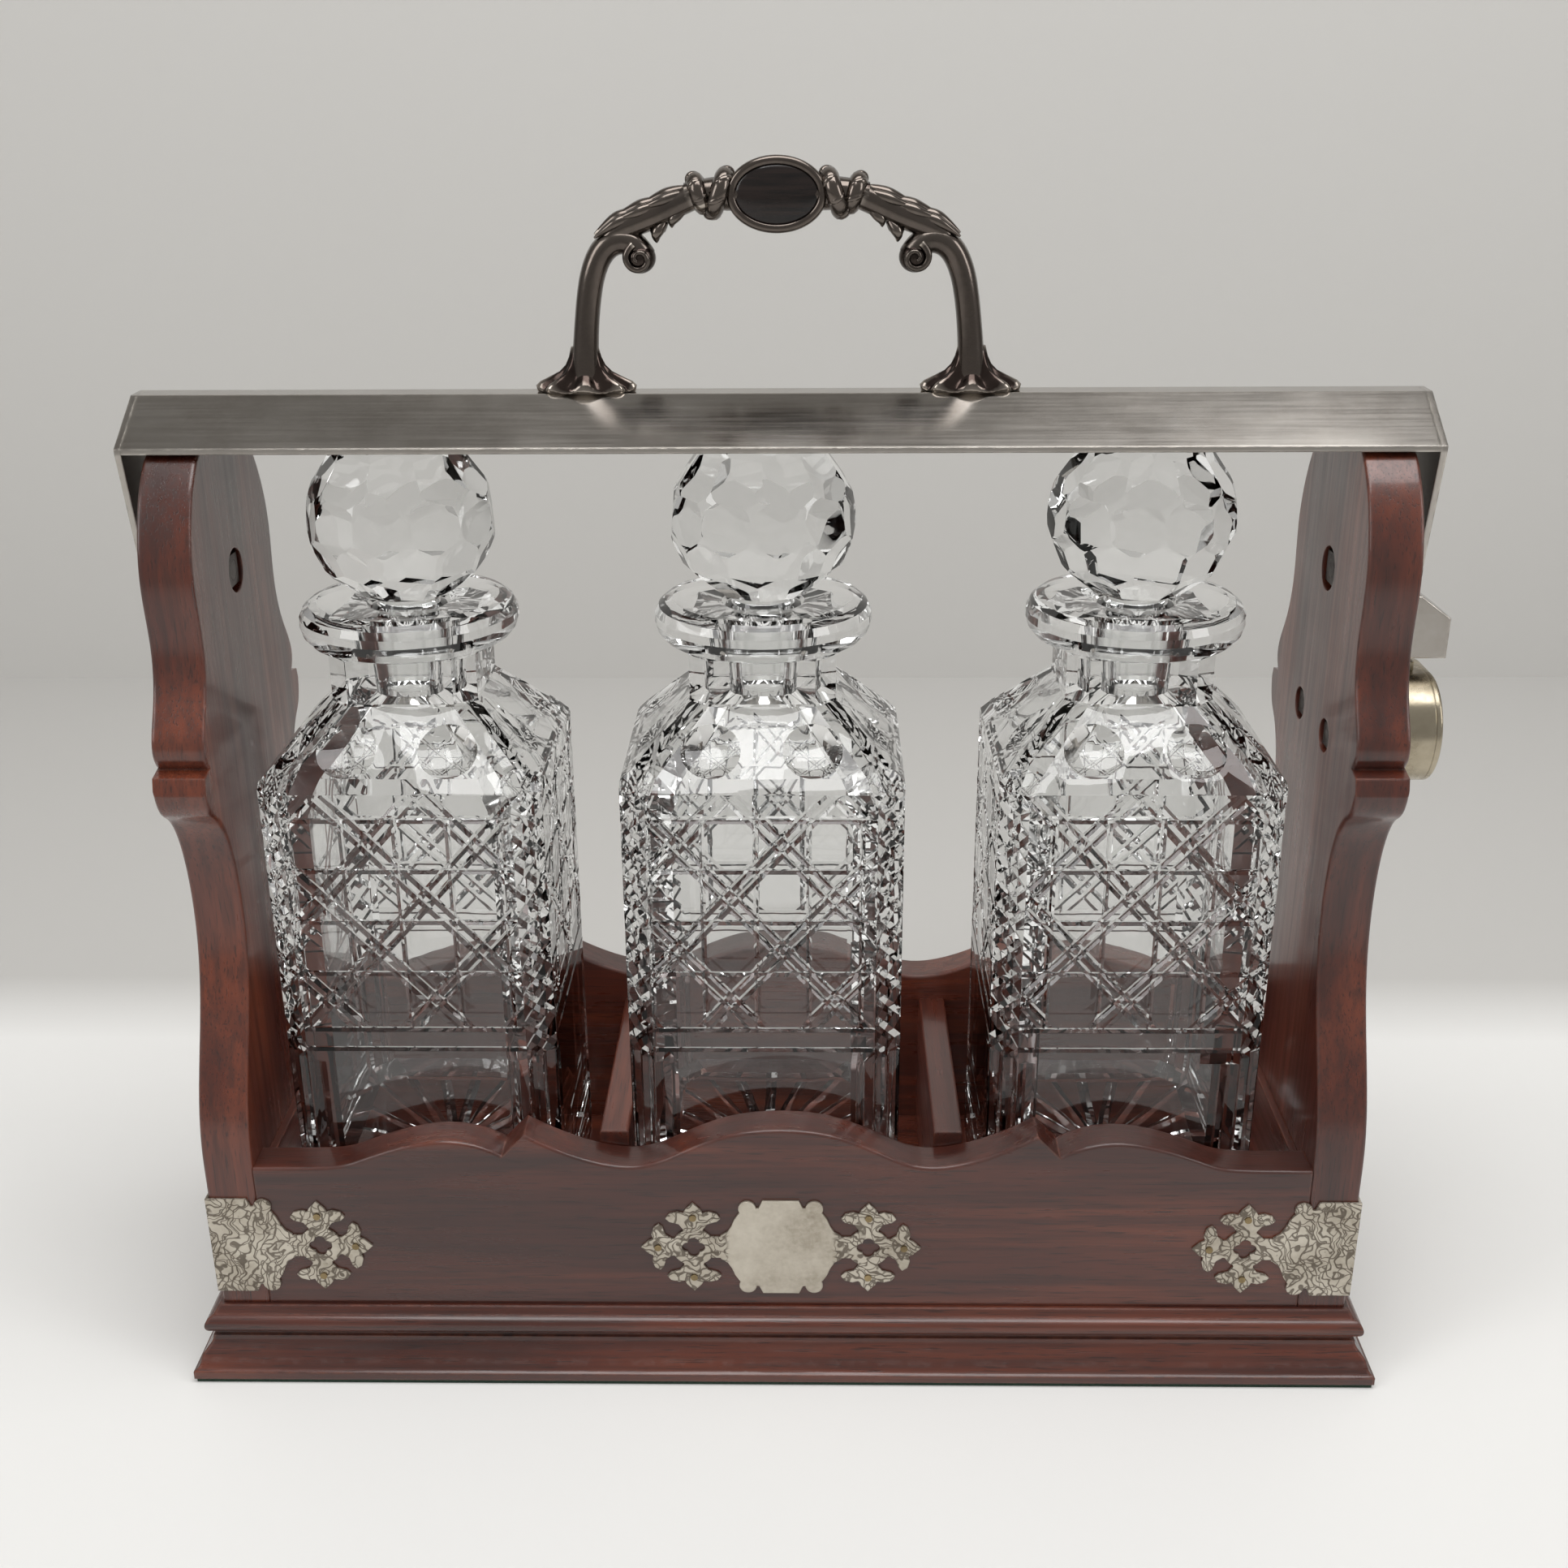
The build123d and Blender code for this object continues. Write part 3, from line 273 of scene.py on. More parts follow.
grain_along_x = mahogany("mahogany_lengthwise", (0, 1, 2))
grain_along_y = mahogany("mahogany_crosswise", (1, 0, 2))
grain_along_z = mahogany("mahogany_upright", (2, 0, 1))
for name in ("front_board", "back_board", "plinth_front", "plinth_back", "base_board", "tray_floor"):
    nodes[name].data.materials.clear()
    nodes[name].data.materials.append(grain_along_x)
for name in ("plinth_left", "plinth_right", "divider_left", "divider_right", "end_lining_left", "end_lining_right"):
    nodes[name].data.materials.clear()
    nodes[name].data.materials.append(grain_along_y)
for name in ("side_panel_left", "side_panel_right"):
    nodes[name].data.materials.clear()
    nodes[name].data.materials.append(grain_along_z)

# ---- Felt underlay --------------------------------------------------------------------------
# A thin sheet of dark green felt, glued under the base so that it doesn't scratch the table.

felt, tree, shader = new_material("green_felt")
fibres = add_node(tree, "TexNoise", Vector=add_node(tree, "TexCoord").outputs["Object"], Scale=2600.0, Detail=3.0)
tree.links.new(
    colour_ramp(tree, fibres.outputs[0], [(0.35, (0.008, 0.020, 0.013)), (0.65, (0.030, 0.062, 0.040))]),
    shader.inputs["Base Color"],
)
fuzz = add_node(tree, "Bump", Height=fibres.outputs[0], Strength=0.6, Distance=0.0003)
tree.links.new(fuzz.outputs[0], shader.inputs["Normal"])
shader.inputs["Roughness"].default_value = 0.95
nodes["base_underlay"].data.materials.clear()
nodes["base_underlay"].data.materials.append(felt)

# ---- Silver-plated mounts -------------------------------------------------------------------
# The cartouche and the two corner mounts are pierced sheet, silver plated and hand engraved with
# scrolling leaves, worn and tarnished, and pinned to the wood with small round-headed brass pins.

tarnish, tarnish_in, tarnish_out = new_group(
    "plate_tarnish", {"Clean": "Color", "Dark": "Color", "Amount": "Float"}, {"Color": "Color", "Roughness": "Float"}
)
metal_place = add_node(tarnish, "TexCoord").outputs["Object"]
blotches = add_node(tarnish, "TexNoise", Vector=metal_place, Scale=55.0, Detail=6.0, Roughness=0.62)
specks = add_node(tarnish, "TexNoise", Vector=metal_place, Scale=620.0, Detail=3.0)
hollows = add_node(tarnish, "AmbientOcclusion", {"samples": 4}, Distance=0.003)
patchy = remap(tarnish, blotches.outputs[0], 0.36, 0.68)
spotted = calculate(tarnish, "MULTIPLY", patchy, remap(tarnish, specks.outputs[0], 0.3, 0.6, 0.55, 1.0))
shaded = calculate(tarnish, "MAXIMUM", spotted, remap(tarnish, hollows.outputs["AO"], 0.75, 0.3))
amount = calculate(tarnish, "MULTIPLY", shaded, tarnish_in.outputs["Amount"])
tarnish.links.new(
    mix_colours(tarnish, amount, tarnish_in.outputs["Clean"], tarnish_in.outputs["Dark"]), tarnish_out.inputs["Color"]
)
tarnish.links.new(remap(tarnish, amount, 0.0, 1.0, 0.20, 0.48), tarnish_out.inputs["Roughness"])


def engraved_plate(name, plain_half_width):
    """Worn plate with cut scrolls, left plain within the given distance of the object's middle."""
    material, tree, shader = new_material(name)
    place = add_node(tree, "TexCoord").outputs["Object"]
    swirl = add_node(tree, "TexNoise", Vector=place, Scale=150.0, Detail=1.5)
    swept = add_node(tree, "VectorMath", {"operation": "MULTIPLY_ADD"})
    tree.links.new(swirl.outputs["Color"], swept.inputs[0])
    swept.inputs[1].default_value = (0.016, 0.016, 0.016)
    tree.links.new(place, swept.inputs[2])
    strokes = add_node(tree, "TexWave", {"wave_type": "RINGS", "rings_direction": "SPHERICAL"}, Scale=110.0, Detail=1.0)
    tree.links.new(swept.outputs[0], strokes.inputs["Vector"])
    cells = add_node(tree, "TexVoronoi", {"feature": "DISTANCE_TO_EDGE"}, Scale=210.0)
    tree.links.new(swept.outputs[0], cells.inputs["Vector"])
    lines = remap(tree, strokes.outputs["Fac"], 0.80, 0.93)
    veins = remap(tree, cells.outputs["Distance"], 0.07, 0.02)
    off_middle = calculate(tree, "ABSOLUTE", add_node(tree, "SeparateXYZ", Vector=place).outputs["X"])
    worked = remap(tree, off_middle, plain_half_width - 0.0008, plain_half_width + 0.0008)
    cuts = calculate(tree, "MULTIPLY", calculate(tree, "MAXIMUM", lines, veins), worked)
    plate = use_group(
        tree, tarnish, Clean=(0.60, 0.555, 0.475, 1.0), Dark=(0.30, 0.255, 0.195, 1.0), Amount=0.75
    )
    cut_colour = mix_colours(
        tree, calculate(tree, "MULTIPLY", cuts, 0.72), plate.outputs["Color"], (0.085, 0.062, 0.045, 1.0)
    )
    tree.links.new(cut_colour, shader.inputs["Base Color"])
    rough = calculate(tree, "ADD", plate.outputs["Roughness"], calculate(tree, "MULTIPLY", cuts, 0.25))
    tree.links.new(calculate(tree, "ADD", rough, 0.14), shader.inputs["Roughness"])
    edge_mask = use_group(tree, edge_wear_and_highlight, Radius=0.0005)
    bump = add_node(
        tree, "Bump", {"invert": True}, Height=cuts, Strength=0.5, Distance=0.00015, Normal=edge_mask.outputs["Normal"]
    )
    tree.links.new(bump.outputs[0], shader.inputs["Normal"])
    shader.inputs["Metallic"].default_value = 0.82
    return material


nodes["cartouche"].data.materials.clear()
nodes["cartouche"].data.materials.append(engraved_plate("worn_silver_cartouche", 0.0165))
corner_plate = engraved_plate("engraved_silver_corners", 0.0)
for name in ("corner_mount_left", "corner_mount_right"):
    nodes[name].data.materials.clear()
    nodes[name].data.materials.append(corner_plate)

pin_brass, tree, shader = new_material("dull_brass_pins")
pin_finish = use_group(
    tree, tarnish, Clean=(0.34, 0.26, 0.14, 1.0), Dark=(0.10, 0.072, 0.04, 1.0), Amount=0.9
)
tree.links.new(pin_finish.outputs["Color"], shader.inputs["Base Color"])
tree.links.new(pin_finish.outputs["Roughness"], shader.inputs["Roughness"])
shader.inputs["Metallic"].default_value = 1.0
nodes["mount_pins"].data.materials.clear()
nodes["mount_pins"].data.materials.append(pin_brass)

# ---- Decanters ------------------------------------------------------------------------------
# Three square decanters of blown lead crystal with thick walls, wheel-cut with a lattice of
# double mitres, hatched corners, round shoulder cuts and a star underneath, then polished.

crystal, tree, shader = new_material("cut_crystal")
glass_place = add_node(tree, "TexCoord").outputs["Object"]
ripple = add_node(tree, "TexNoise", Vector=glass_place, Scale=70.0, Detail=2.0)
film = add_node(tree, "TexNoise", Vector=glass_place, Scale=240.0, Detail=4.0)
wavy = add_node(tree, "Bump", Height=ripple.outputs[0], Strength=0.08, Distance=0.0006)
tree.links.new(wavy.outputs[0], shader.inputs["Normal"])
tree.links.new(remap(tree, film.outputs[0], 0.45, 0.75, 0.005, 0.045), shader.inputs["Roughness"])
tree.links.new(
    colour_ramp(tree, film.outputs[0], [(0.4, (0.985, 0.99, 0.99)), (0.75, (0.955, 0.965, 0.96))]),
    shader.inputs["Base Color"],
)
shader.inputs["Transmission Weight"].default_value = 1.0
shader.inputs["IOR"].default_value = 1.54

ground_star, tree, shader = new_material("ground_star_cuts")
scratches = add_node(tree, "TexNoise", Vector=add_node(tree, "TexCoord").outputs["Object"], Scale=900.0, Detail=2.0)
tree.links.new(remap(tree, scratches.outputs[0], 0.3, 0.7, 0.28, 0.42), shader.inputs["Roughness"])
tree.links.new(
    colour_ramp(tree, scratches.outputs[0], [(0.3, (0.90, 0.91, 0.90)), (0.7, (0.98, 0.98, 0.97))]),
    shader.inputs["Base Color"],
)
shader.inputs["Transmission Weight"].default_value = 0.55
shader.inputs["IOR"].default_value = 1.54


def extrude_ring(solid, ring, place_vertex):
    """Extrudes a ring of edges and puts each new vertex where its place on the ring says."""
    made = bmesh.ops.extrude_edge_only(solid, edges=ring)["geom"]
    fresh = {v for v in made if isinstance(v, bmesh.types.BMVert)}
    order = solid.verts.layers.int["order"]
    for vertex in fresh:
        vertex.co = place_vertex(vertex[order])
    new_ring = [e for e in made if isinstance(e, bmesh.types.BMEdge) and set(e.verts) <= fresh]
    return new_ring, [f for f in made if isinstance(f, bmesh.types.BMFace)]


def eight_sided(half, flat, z):
    """Places on a square with cut corners: ten steps along each wide side and six along each cut."""

    def place(order):
        side, step = divmod(order, 16)
        if step < 10:
            point = Vector((-flat + 2 * flat * step / 10, -half, z))
        else:
            point = Vector((flat + (half - flat) * (step - 10) / 6, -half + (half - flat) * (step - 10) / 6, z))
        return Matrix.Rotation(side * pi / 2, 3, "Z") @ point

    return place


def round_ring(radius, z):
    """Places on a circle, spread so that they follow the neck's eight sides."""
    half_side = atan2(flat_neck, half_neck)

    def place(order):
        side, step = divmod(order, 16)
        angle = 2 * half_side * step / 10 if step < 10 else 2 * half_side + (pi / 2 - 2 * half_side) * (step - 10) / 6
        angle += side * pi / 2 - pi / 2 - half_side
        return Vector((radius * cos(angle), radius * sin(angle), z))

    return place


def cut_lines(solid, faces, lines, half_width):
    """Splits the faces along both edges and the middle of each line: a point and its normal."""
    piece = [*faces, *{e for f in faces for e in f.edges}, *{v for f in faces for v in f.verts}]
    for point, normal in lines:
        for offset in (-half_width, 0.0, half_width):
            piece = bmesh.ops.bisect_plane(
                solid, geom=piece, dist=1e-5, plane_co=point + normal * offset, plane_no=normal
            )["geom"]
    return [g for g in piece if isinstance(g, bmesh.types.BMFace)]


def sink_lines(faces, lines, half_width, depth, inward, keep):
    """Sinks the middle of each line into the glass as a mitre; keep fades it out at the edges."""
    for vertex in {v for f in faces for v in f.verts}:
        near = min((abs((vertex.co - point).dot(normal)) for point, normal in lines), default=half_width)
        if near < half_width:
            vertex.co += inward * depth * (1 - near / half_width) * keep(vertex.co)


def add_wheel(solid, surface, outward, cut_radius, depth):
    """A cap of a ball that cuts a round hollow of the given radius and depth into the surface."""
    radius = (cut_radius ** 2 + depth ** 2) / (2 * depth)
    place = Matrix.Translation(surface + outward * (radius - depth)) @ outward.to_track_quat("Z", "Y").to_matrix().to_4x4()
    ball = bmesh.ops.create_uvsphere(solid, u_segments=64, v_segments=64, radius=radius, matrix=place)["verts"]
    whole = [*ball, *{e for v in ball for e in v.link_edges}, *{f for v in ball for f in v.link_faces}]
    cap = bmesh.ops.bisect_plane(
        solid, geom=whole, dist=1e-5, plane_co=surface + outward * 0.9, plane_no=outward, clear_outer=True
    )["geom_cut"]
    bmesh.ops.edgeloop_fill(solid, edges=[g for g in cap if isinstance(g, bmesh.types.BMEdge)])


def grind_away(piece, wheels):
    """Cuts the wheels' shapes out of the piece and puts the result in its mesh."""
    for face in wheels.faces:
        face.smooth = True
    wheel_mesh = bpy.data.meshes.new("wheels")
    wheels.to_mesh(wheel_mesh)
    wheels.free()
    grinder = bpy.data.objects.new("wheels", wheel_mesh)
    scene.collection.objects.link(grinder)
    cut = piece.modifiers.new("round_cuts", "BOOLEAN")
    cut.operation = "DIFFERENCE"
    cut.solver = "EXACT"
    cut.object = grinder
    shaped = bpy.data.meshes.new_from_object(piece.evaluated_get(bpy.context.evaluated_depsgraph_get()))
    piece.modifiers.clear()
    piece.data = shaped
    bpy.data.objects.remove(grinder)


foot_z, body_top, neck_z, lip_z, lip_top = 32.0, 192.5, 212.0, 226.2, 239.2
half_body, flat_body, half_neck, flat_neck = 41.5, 33.5, 21.5, 15.5
lattice_pitch, lattice_rise = 31.0, 17.0
band_low, band_high = 104.0, 192.0


def make_decanter(place_name, x, phase):
    solid = bmesh.new()
    order = solid.verts.layers.int.new("order")
    first = bmesh.ops.create_circle(solid, segments=64, radius=10)["verts"]
    for number, vertex in enumerate(first):
        vertex[order] = number
        vertex.co = eight_sided(half_body - 1.2, flat_body - 0.6, foot_z)(number)
    ring = [e for e in solid.edges]
    bottom = ring
    rows = [
        eight_sided(half_body, flat_body, foot_z + 1.2),
        eight_sided(half_body, flat_body, foot_z + 5.0),
        eight_sided(half_body, flat_body, band_low),
        eight_sided(half_body, flat_body, body_top - 0.5),
        eight_sided(half_body - 0.4, flat_body - 0.3, body_top),
        eight_sided(half_neck + 0.3, flat_neck + 0.2, neck_z - 0.2),
        eight_sided(half_neck, flat_neck, neck_z + 0.4),
        eight_sided(half_neck, flat_neck, lip_z - 0.6),
        round_ring(27.4, lip_z + 0.5),
        round_ring(29.8, lip_z + 1.6),
        round_ring(31.5, lip_z + 3.7),
        round_ring(32.3, lip_z + 6.4),
        round_ring(32.1, lip_z + 8.8),
        round_ring(31.0, lip_z + 11.0),
        round_ring(29.2, lip_z + 12.4),
        round_ring(26.8, lip_top),
        round_ring(14.4, lip_top - 0.9),
        round_ring(12.3, lip_top - 1.6),
        round_ring(11.6, lip_top - 2.8),
        round_ring(9.8, lip_top - 27.0),
        eight_sided(15.0, 10.0, neck_z - 4.5),
        eight_sided(30.0, 23.0, body_top - 1.5),
        eight_sided(33.2, 26.4, body_top - 9.0),
        eight_sided(33.5, 26.5, foot_z + 31.0),
        eight_sided(32.6, 25.6, foot_z + 26.5),
        eight_sided(29.0, 22.0, foot_z + 23.2),
        eight_sided(20.0, 13.0, foot_z + 22.0),
    ]
    faces_of_row = []
    for place in rows:
        ring, faces = extrude_ring(solid, ring, place)
        faces_of_row.append(faces)
    bmesh.ops.edgeloop_fill(solid, edges=ring)
    underside = bmesh.ops.edgeloop_fill(solid, edges=bottom)["faces"]

    # The star underneath.
    rays = [
        (Vector((0, 0, foot_z)), Vector((cos(turn * pi / 12), sin(turn * pi / 12), 0))) for turn in range(12)
    ]
    cut = cut_lines(solid, underside, rays, 1.9)
    sink_lines(cut, rays, 1.9, 2.6, Vector((0, 0, 1)), lambda at: min(1, max(0, (39 - hypot(at.x, at.y)) / 12)))
    for face in cut:
        if face.is_valid and max(v.co.z for v in face.verts) > foot_z + 0.3:
            face.material_index = 1

    for side in range(4):
        turn = Matrix.Rotation(side * pi / 2, 3, "Z")
        corner_turn = Matrix.Rotation(side * pi / 2 + pi / 4, 3, "Z")

        def on_side(faces, start, steps):
            whole = [f for f in faces if f.is_valid]
            return [f for f in whole if all((v[order] - 16 * side - start) % 64 <= steps for v in f.verts)]

        # The lattice of double mitres with its level lines, on one wide side.
        inward = turn @ Vector((0, 1, 0))
        wide = bmesh.ops.dissolve_faces(solid, faces=on_side(faces_of_row[3], 0, 10))["region"]
        slope = Vector((lattice_rise, 0, lattice_pitch / 2)).normalized()
        doubles = []
        for lean in (-1, 1):
            normal = turn @ Vector((slope.x, 0, lean * slope.z))
            for step in range(-5, 6):
                window = turn @ Vector((phase[side] + lattice_pitch * (step + 0.5), -half_body, 176.0))
                for split in (-1.75, 1.75):
                    doubles.append((window + normal * split, normal))
        levels = [
            (Vector((0, 0, level)), Vector((0, 0, 1))) for level in (184.0, 168.0, 151.5, 134.5, 115.5, 108.7)
        ]
        across = turn @ Vector((1, 0, 0))
        uprights = [(across * (phase[side] + lattice_pitch * (step + 0.5) / 2), across) for step in range(-6, 6)]
        cut = cut_lines(solid, wide, doubles, 1.05)
        cut = cut_lines(solid, cut, levels, 0.9)
        cut = cut_lines(solid, cut, uprights, 0.8)

        def inside_band(at):
            out = abs(at.dot(across))
            fade = min((flat_body - out) / 1.0, (band_high - at.z) / 3.0, (at.z - band_low) / 1.0, 1.0)
            return max(fade, 0.0)

        def above_base(at):
            return inside_band(at) if at.z > 117.5 else 0.0

        def beside_windows(at):
            return inside_band(at) if 115.5 < at.z < 184.0 else 0.0

        flat = {v: v.co.copy() for v in {v for f in cut for v in f.verts}}
        sunk = dict.fromkeys(flat, 0.0)
        for lines, half_width, depth, keep in (
            (levels, 0.9, 0.85, inside_band),
            (doubles, 1.05, 1.05, above_base),
            (uprights, 0.8, 0.7, beside_windows),
        ):
            sink_lines(cut, lines, half_width, depth, inward, keep)
            for vertex, at in flat.items():
                sunk[vertex] = max(sunk[vertex], (vertex.co - at).length)
                vertex.co = at
        for vertex, at in flat.items():
            vertex.co = at + inward * sunk[vertex]

        # Upright flutes at the edges of the plain base band.
        base = bmesh.ops.dissolve_faces(solid, faces=on_side(faces_of_row[2], 0, 10))["region"]
        flutes = [(across * out + turn @ Vector((0, -half_body, 0)), across) for out in (-30.6, 30.6)]
        cut = cut_lines(solid, base, flutes, 2.6)
        sink_lines(cut, flutes, 2.6, 1.4, inward, lambda at: 1.0)

        # Hatched corners.
        deep = corner_turn @ Vector((0, 1, 0))
        along = corner_turn @ Vector((1, 0, 0))
        edge_place = corner_turn @ Vector((0, -(half_body + flat_body) / sqrt(2), 0))
        hatched = bmesh.ops.dissolve_faces(solid, faces=on_side(faces_of_row[3], 10, 6))["region"]
        hatch = []
        for lean in (-1, 1):
            normal = (along + Vector((0, 0, lean))).normalized()
            for step in range(-2, 13):
                hatch.append((edge_place + Vector((0, 0, band_low + 8.8 * step)), normal))
        cut = cut_lines(solid, hatched, hatch, 1.9)
        sink_lines(
            cut, hatch, 1.9, 1.3, deep,
            lambda at: max(0.0, min((5.6 - abs((at - edge_place).dot(along))) / 0.8, (band_high - at.z) / 1.0,
                                    (at.z - band_low) / 1.0, 1.0)),
        )
        plain = bmesh.ops.dissolve_faces(solid, faces=on_side(faces_of_row[2], 10, 6))["region"]
        mitre = [(edge_place + along * out, along) for out in (-2.7, 2.7)]
        cut = cut_lines(solid, plain, mitre, 2.5)
        sink_lines(cut, mitre, 2.5, 1.7, deep, lambda at: 1.0)

    bmesh.ops.translate(solid, vec=(x, 0, 0), verts=solid.verts)
    bmesh.ops.scale(solid, vec=(MM, MM, MM), verts=solid.verts)
    bmesh.ops.recalc_face_normals(solid, faces=solid.faces)
    mesh = bpy.data.meshes.new("cut_decanter_" + place_name)
    for face in solid.faces:
        face.smooth = True
    solid.to_mesh(mesh)
    solid.free()
    mesh.materials.append(crystal)
    mesh.materials.append(ground_star)
    piece = bpy.data.objects.new("cut_decanter_" + place_name, mesh)
    scene.collection.objects.link(piece)

    # Round cuts on the shoulder: two on each slope and one over each corner.
    wheels = bmesh.new()
    slope_rise = Vector((0, half_neck - half_body, neck_z - body_top)).normalized()
    for side in range(4):
        turn = Matrix.Rotation(side * pi / 2, 3, "Z")
        outward = turn @ Vector((0, -slope_rise.z, -slope_rise.y))
        for out in (-14.7, 14.7):
            on_slope = Vector((out, -(half_body + half_neck) / 2 - 0.6, (body_top + neck_z) / 2 - 0.6))
            add_wheel(wheels, turn @ on_slope, outward, 8.9, 1.9)
        corner = Matrix.Rotation(side * pi / 2 + pi / 4, 3, "Z")
        on_corner = corner @ Vector((0, -(half_body + flat_body) / sqrt(2), body_top + 1.2))
        add_wheel(wheels, on_corner, corner @ Vector((0, -cos(radians(44)), sin(radians(44)))), 11.0, 3.2)
    bmesh.ops.translate(wheels, vec=(x, 0, 0), verts=wheels.verts)
    bmesh.ops.scale(wheels, vec=(MM, MM, MM), verts=wheels.verts)
    grind_away(piece, wheels)
    piece.data.name = "cut_decanter_" + place_name
    piece.visible_shadow = False
    piece.data.set_sharp_from_angle(angle=radians(17))
    piece.data.materials.clear()
    piece.data.materials.append(crystal)
    piece.data.materials.append(ground_star)
    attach(piece, "decanter_" + place_name)
    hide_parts("decanter_" + place_name)


decanter_x = {"left": -110.37, "middle": -4.9, "right": 105.3}
make_decanter("left", decanter_x["left"], (7.0, 2.0, -6.0, 11.0))
make_decanter("middle", decanter_x["middle"], (-9.6, 5.0, 12.0, -3.0))
make_decanter("right", decanter_x["right"], (-2.5, -11.0, 4.0, 8.0))

# ---- Stoppers -------------------------------------------------------------------------------
# Each stopper is a solid crystal ball cut all over with flat facets, on a short waist and a
# tapered plug that is ground to fit its own decanter's mouth.


def make_stopper(place_name, x, spin):
    solid = bmesh.new()
    ball_radius, ball_z = 27.35, 262.8
    bmesh.ops.create_uvsphere(solid, u_segments=40, v_segments=24, radius=ball_radius)
    rings = ((90, 1, 0, 0.955), (62, 6, 0, 0.955), (34, 10, 18, 0.95), (5, 11, 0, 0.955), (-23, 11, 16, 0.95), (-50, 8, 0, 0.905))
    for latitude, count, start, share in rings:
        for step in range(count):
            around = radians(start + spin + step * 360 / count)
            normal = Vector(
                (cos(radians(latitude)) * cos(around), cos(radians(latitude)) * sin(around), sin(radians(latitude)))
            )
            cut = bmesh.ops.bisect_plane(
                solid,
                geom=[*solid.verts, *solid.edges, *solid.faces],
                dist=1e-4,
                plane_co=normal * ball_radius * share,
                plane_no=normal,
                clear_outer=True,
            )["geom_cut"]
            rim = [g for g in cut if isinstance(g, bmesh.types.BMEdge)]
            bmesh.ops.edgeloop_fill(solid, edges=rim)
    waist_top = lip_top + 1.6 - ball_z
    cut = bmesh.ops.bisect_plane(
        solid,
        geom=[*solid.verts, *solid.edges, *solid.faces],
        dist=1e-4,
        plane_co=(0, 0, waist_top),
        plane_no=(0, 0, -1),
        clear_outer=True,
    )["geom_cut"]
    rim = [g for g in cut if isinstance(g, bmesh.types.BMEdge)]
    profile = ((9.4, -0.8), (9.0, -2.2), (9.4, -3.4), (11.3, -4.4), (11.28, -5.0), (9.72, -26.4), (8.9, -27.6), (4.0, -28.0))
    plug_rings = []
    for radius, drop in profile:
        circle = bmesh.ops.create_circle(
            solid, segments=40, radius=radius, matrix=Matrix.Translation((0, 0, waist_top + drop))
        )["verts"]
        plug_rings.append(list({e for v in circle for e in v.link_edges}))
    bmesh.ops.bridge_loops(solid, edges=rim + plug_rings[0])
    for upper, lower in zip(plug_rings, plug_rings[1:]):
        bmesh.ops.bridge_loops(solid, edges=upper + lower)
    bmesh.ops.edgeloop_fill(solid, edges=plug_rings[-1])
    bmesh.ops.translate(solid, vec=(x, 0, ball_z), verts=solid.verts)
    bmesh.ops.scale(solid, vec=(MM, MM, MM), verts=solid.verts)
    bmesh.ops.recalc_face_normals(solid, faces=solid.faces)
    for face in solid.faces:
        face.smooth = True
    mesh = bpy.data.meshes.new("cut_stopper_" + place_name)
    solid.to_mesh(mesh)
    solid.free()
    mesh.set_sharp_from_angle(angle=radians(14))
    mesh.materials.append(crystal)
    piece = bpy.data.objects.new("cut_stopper_" + place_name, mesh)
    scene.collection.objects.link(piece)
    piece.visible_shadow = False
    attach(piece, "stopper_" + place_name)
    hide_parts("stopper_" + place_name)


for place_name, spin in (("left", 8), ("middle", 20), ("right", -4)):
    make_stopper(place_name, decanter_x[place_name], spin)

# ---- Locking bar ----------------------------------------------------------------------------
# The bar, its end plates and the catch are folded and soldered nickel-silver sheet, plated and
# polished, with fine rubbing marks along their length. Their grey-brown is partly tarnish and partly
# a painted dark reflection of the room, and their edges carry a painted highlight.

bar_metal, tree, shader = new_material("polished_bar_plate")
bar_place = add_node(tree, "TexCoord").outputs["Object"]
rub_space = add_node(tree, "Mapping", Vector=bar_place, Scale=(26.0, 1500.0, 1500.0))
rubs = add_node(tree, "TexNoise", Vector=rub_space.outputs[0], Scale=1.0, Detail=3.0)
smears = add_node(tree, "TexNoise", Vector=bar_place, Scale=22.0, Detail=5.0, Roughness=0.6)
# The plate colours are kept dark: partly tarnish, partly a painted dark reflection of the room.
finish = use_group(
    tree, tarnish, Clean=(0.42, 0.395, 0.365, 1.0), Dark=(0.31, 0.280, 0.250, 1.0), Amount=0.6
)
edge_mask = use_group(tree, edge_wear_and_highlight, Radius=0.0009)
# The edges are painted much lighter: a painted highlight along them, ragged like worn plate.
tree.links.new(
    mix_colours(tree, edge_mask.outputs["Mask"], finish.outputs["Color"], (0.78, 0.73, 0.66, 1.0)), shader.inputs["Base Color"]
)
rough = calculate(tree, "ADD", remap(tree, rubs.outputs[0], 0.35, 0.65, 0.13, 0.17), remap(tree, smears.outputs[0], 0.4, 0.7, 0.0, 0.05))
tree.links.new(rough, shader.inputs["Roughness"])
brushed = add_node(tree, "Bump", Height=rubs.outputs[0], Strength=0.012, Distance=0.0002, Normal=edge_mask.outputs["Normal"])
tree.links.new(brushed.outputs[0], shader.inputs["Normal"])
shader.inputs["Metallic"].default_value = 1.0
for name in ("bar_channel", "bar_side_left", "bar_side_right", "catch_lug"):
    nodes[name].data.materials.clear()
    nodes[name].data.materials.append(bar_metal)

# ---- Pivots, nuts and screws ----------------------------------------------------------------
# Turned steel bolts with spacers and square nuts, bronzed almost black, hold the bar and lock.

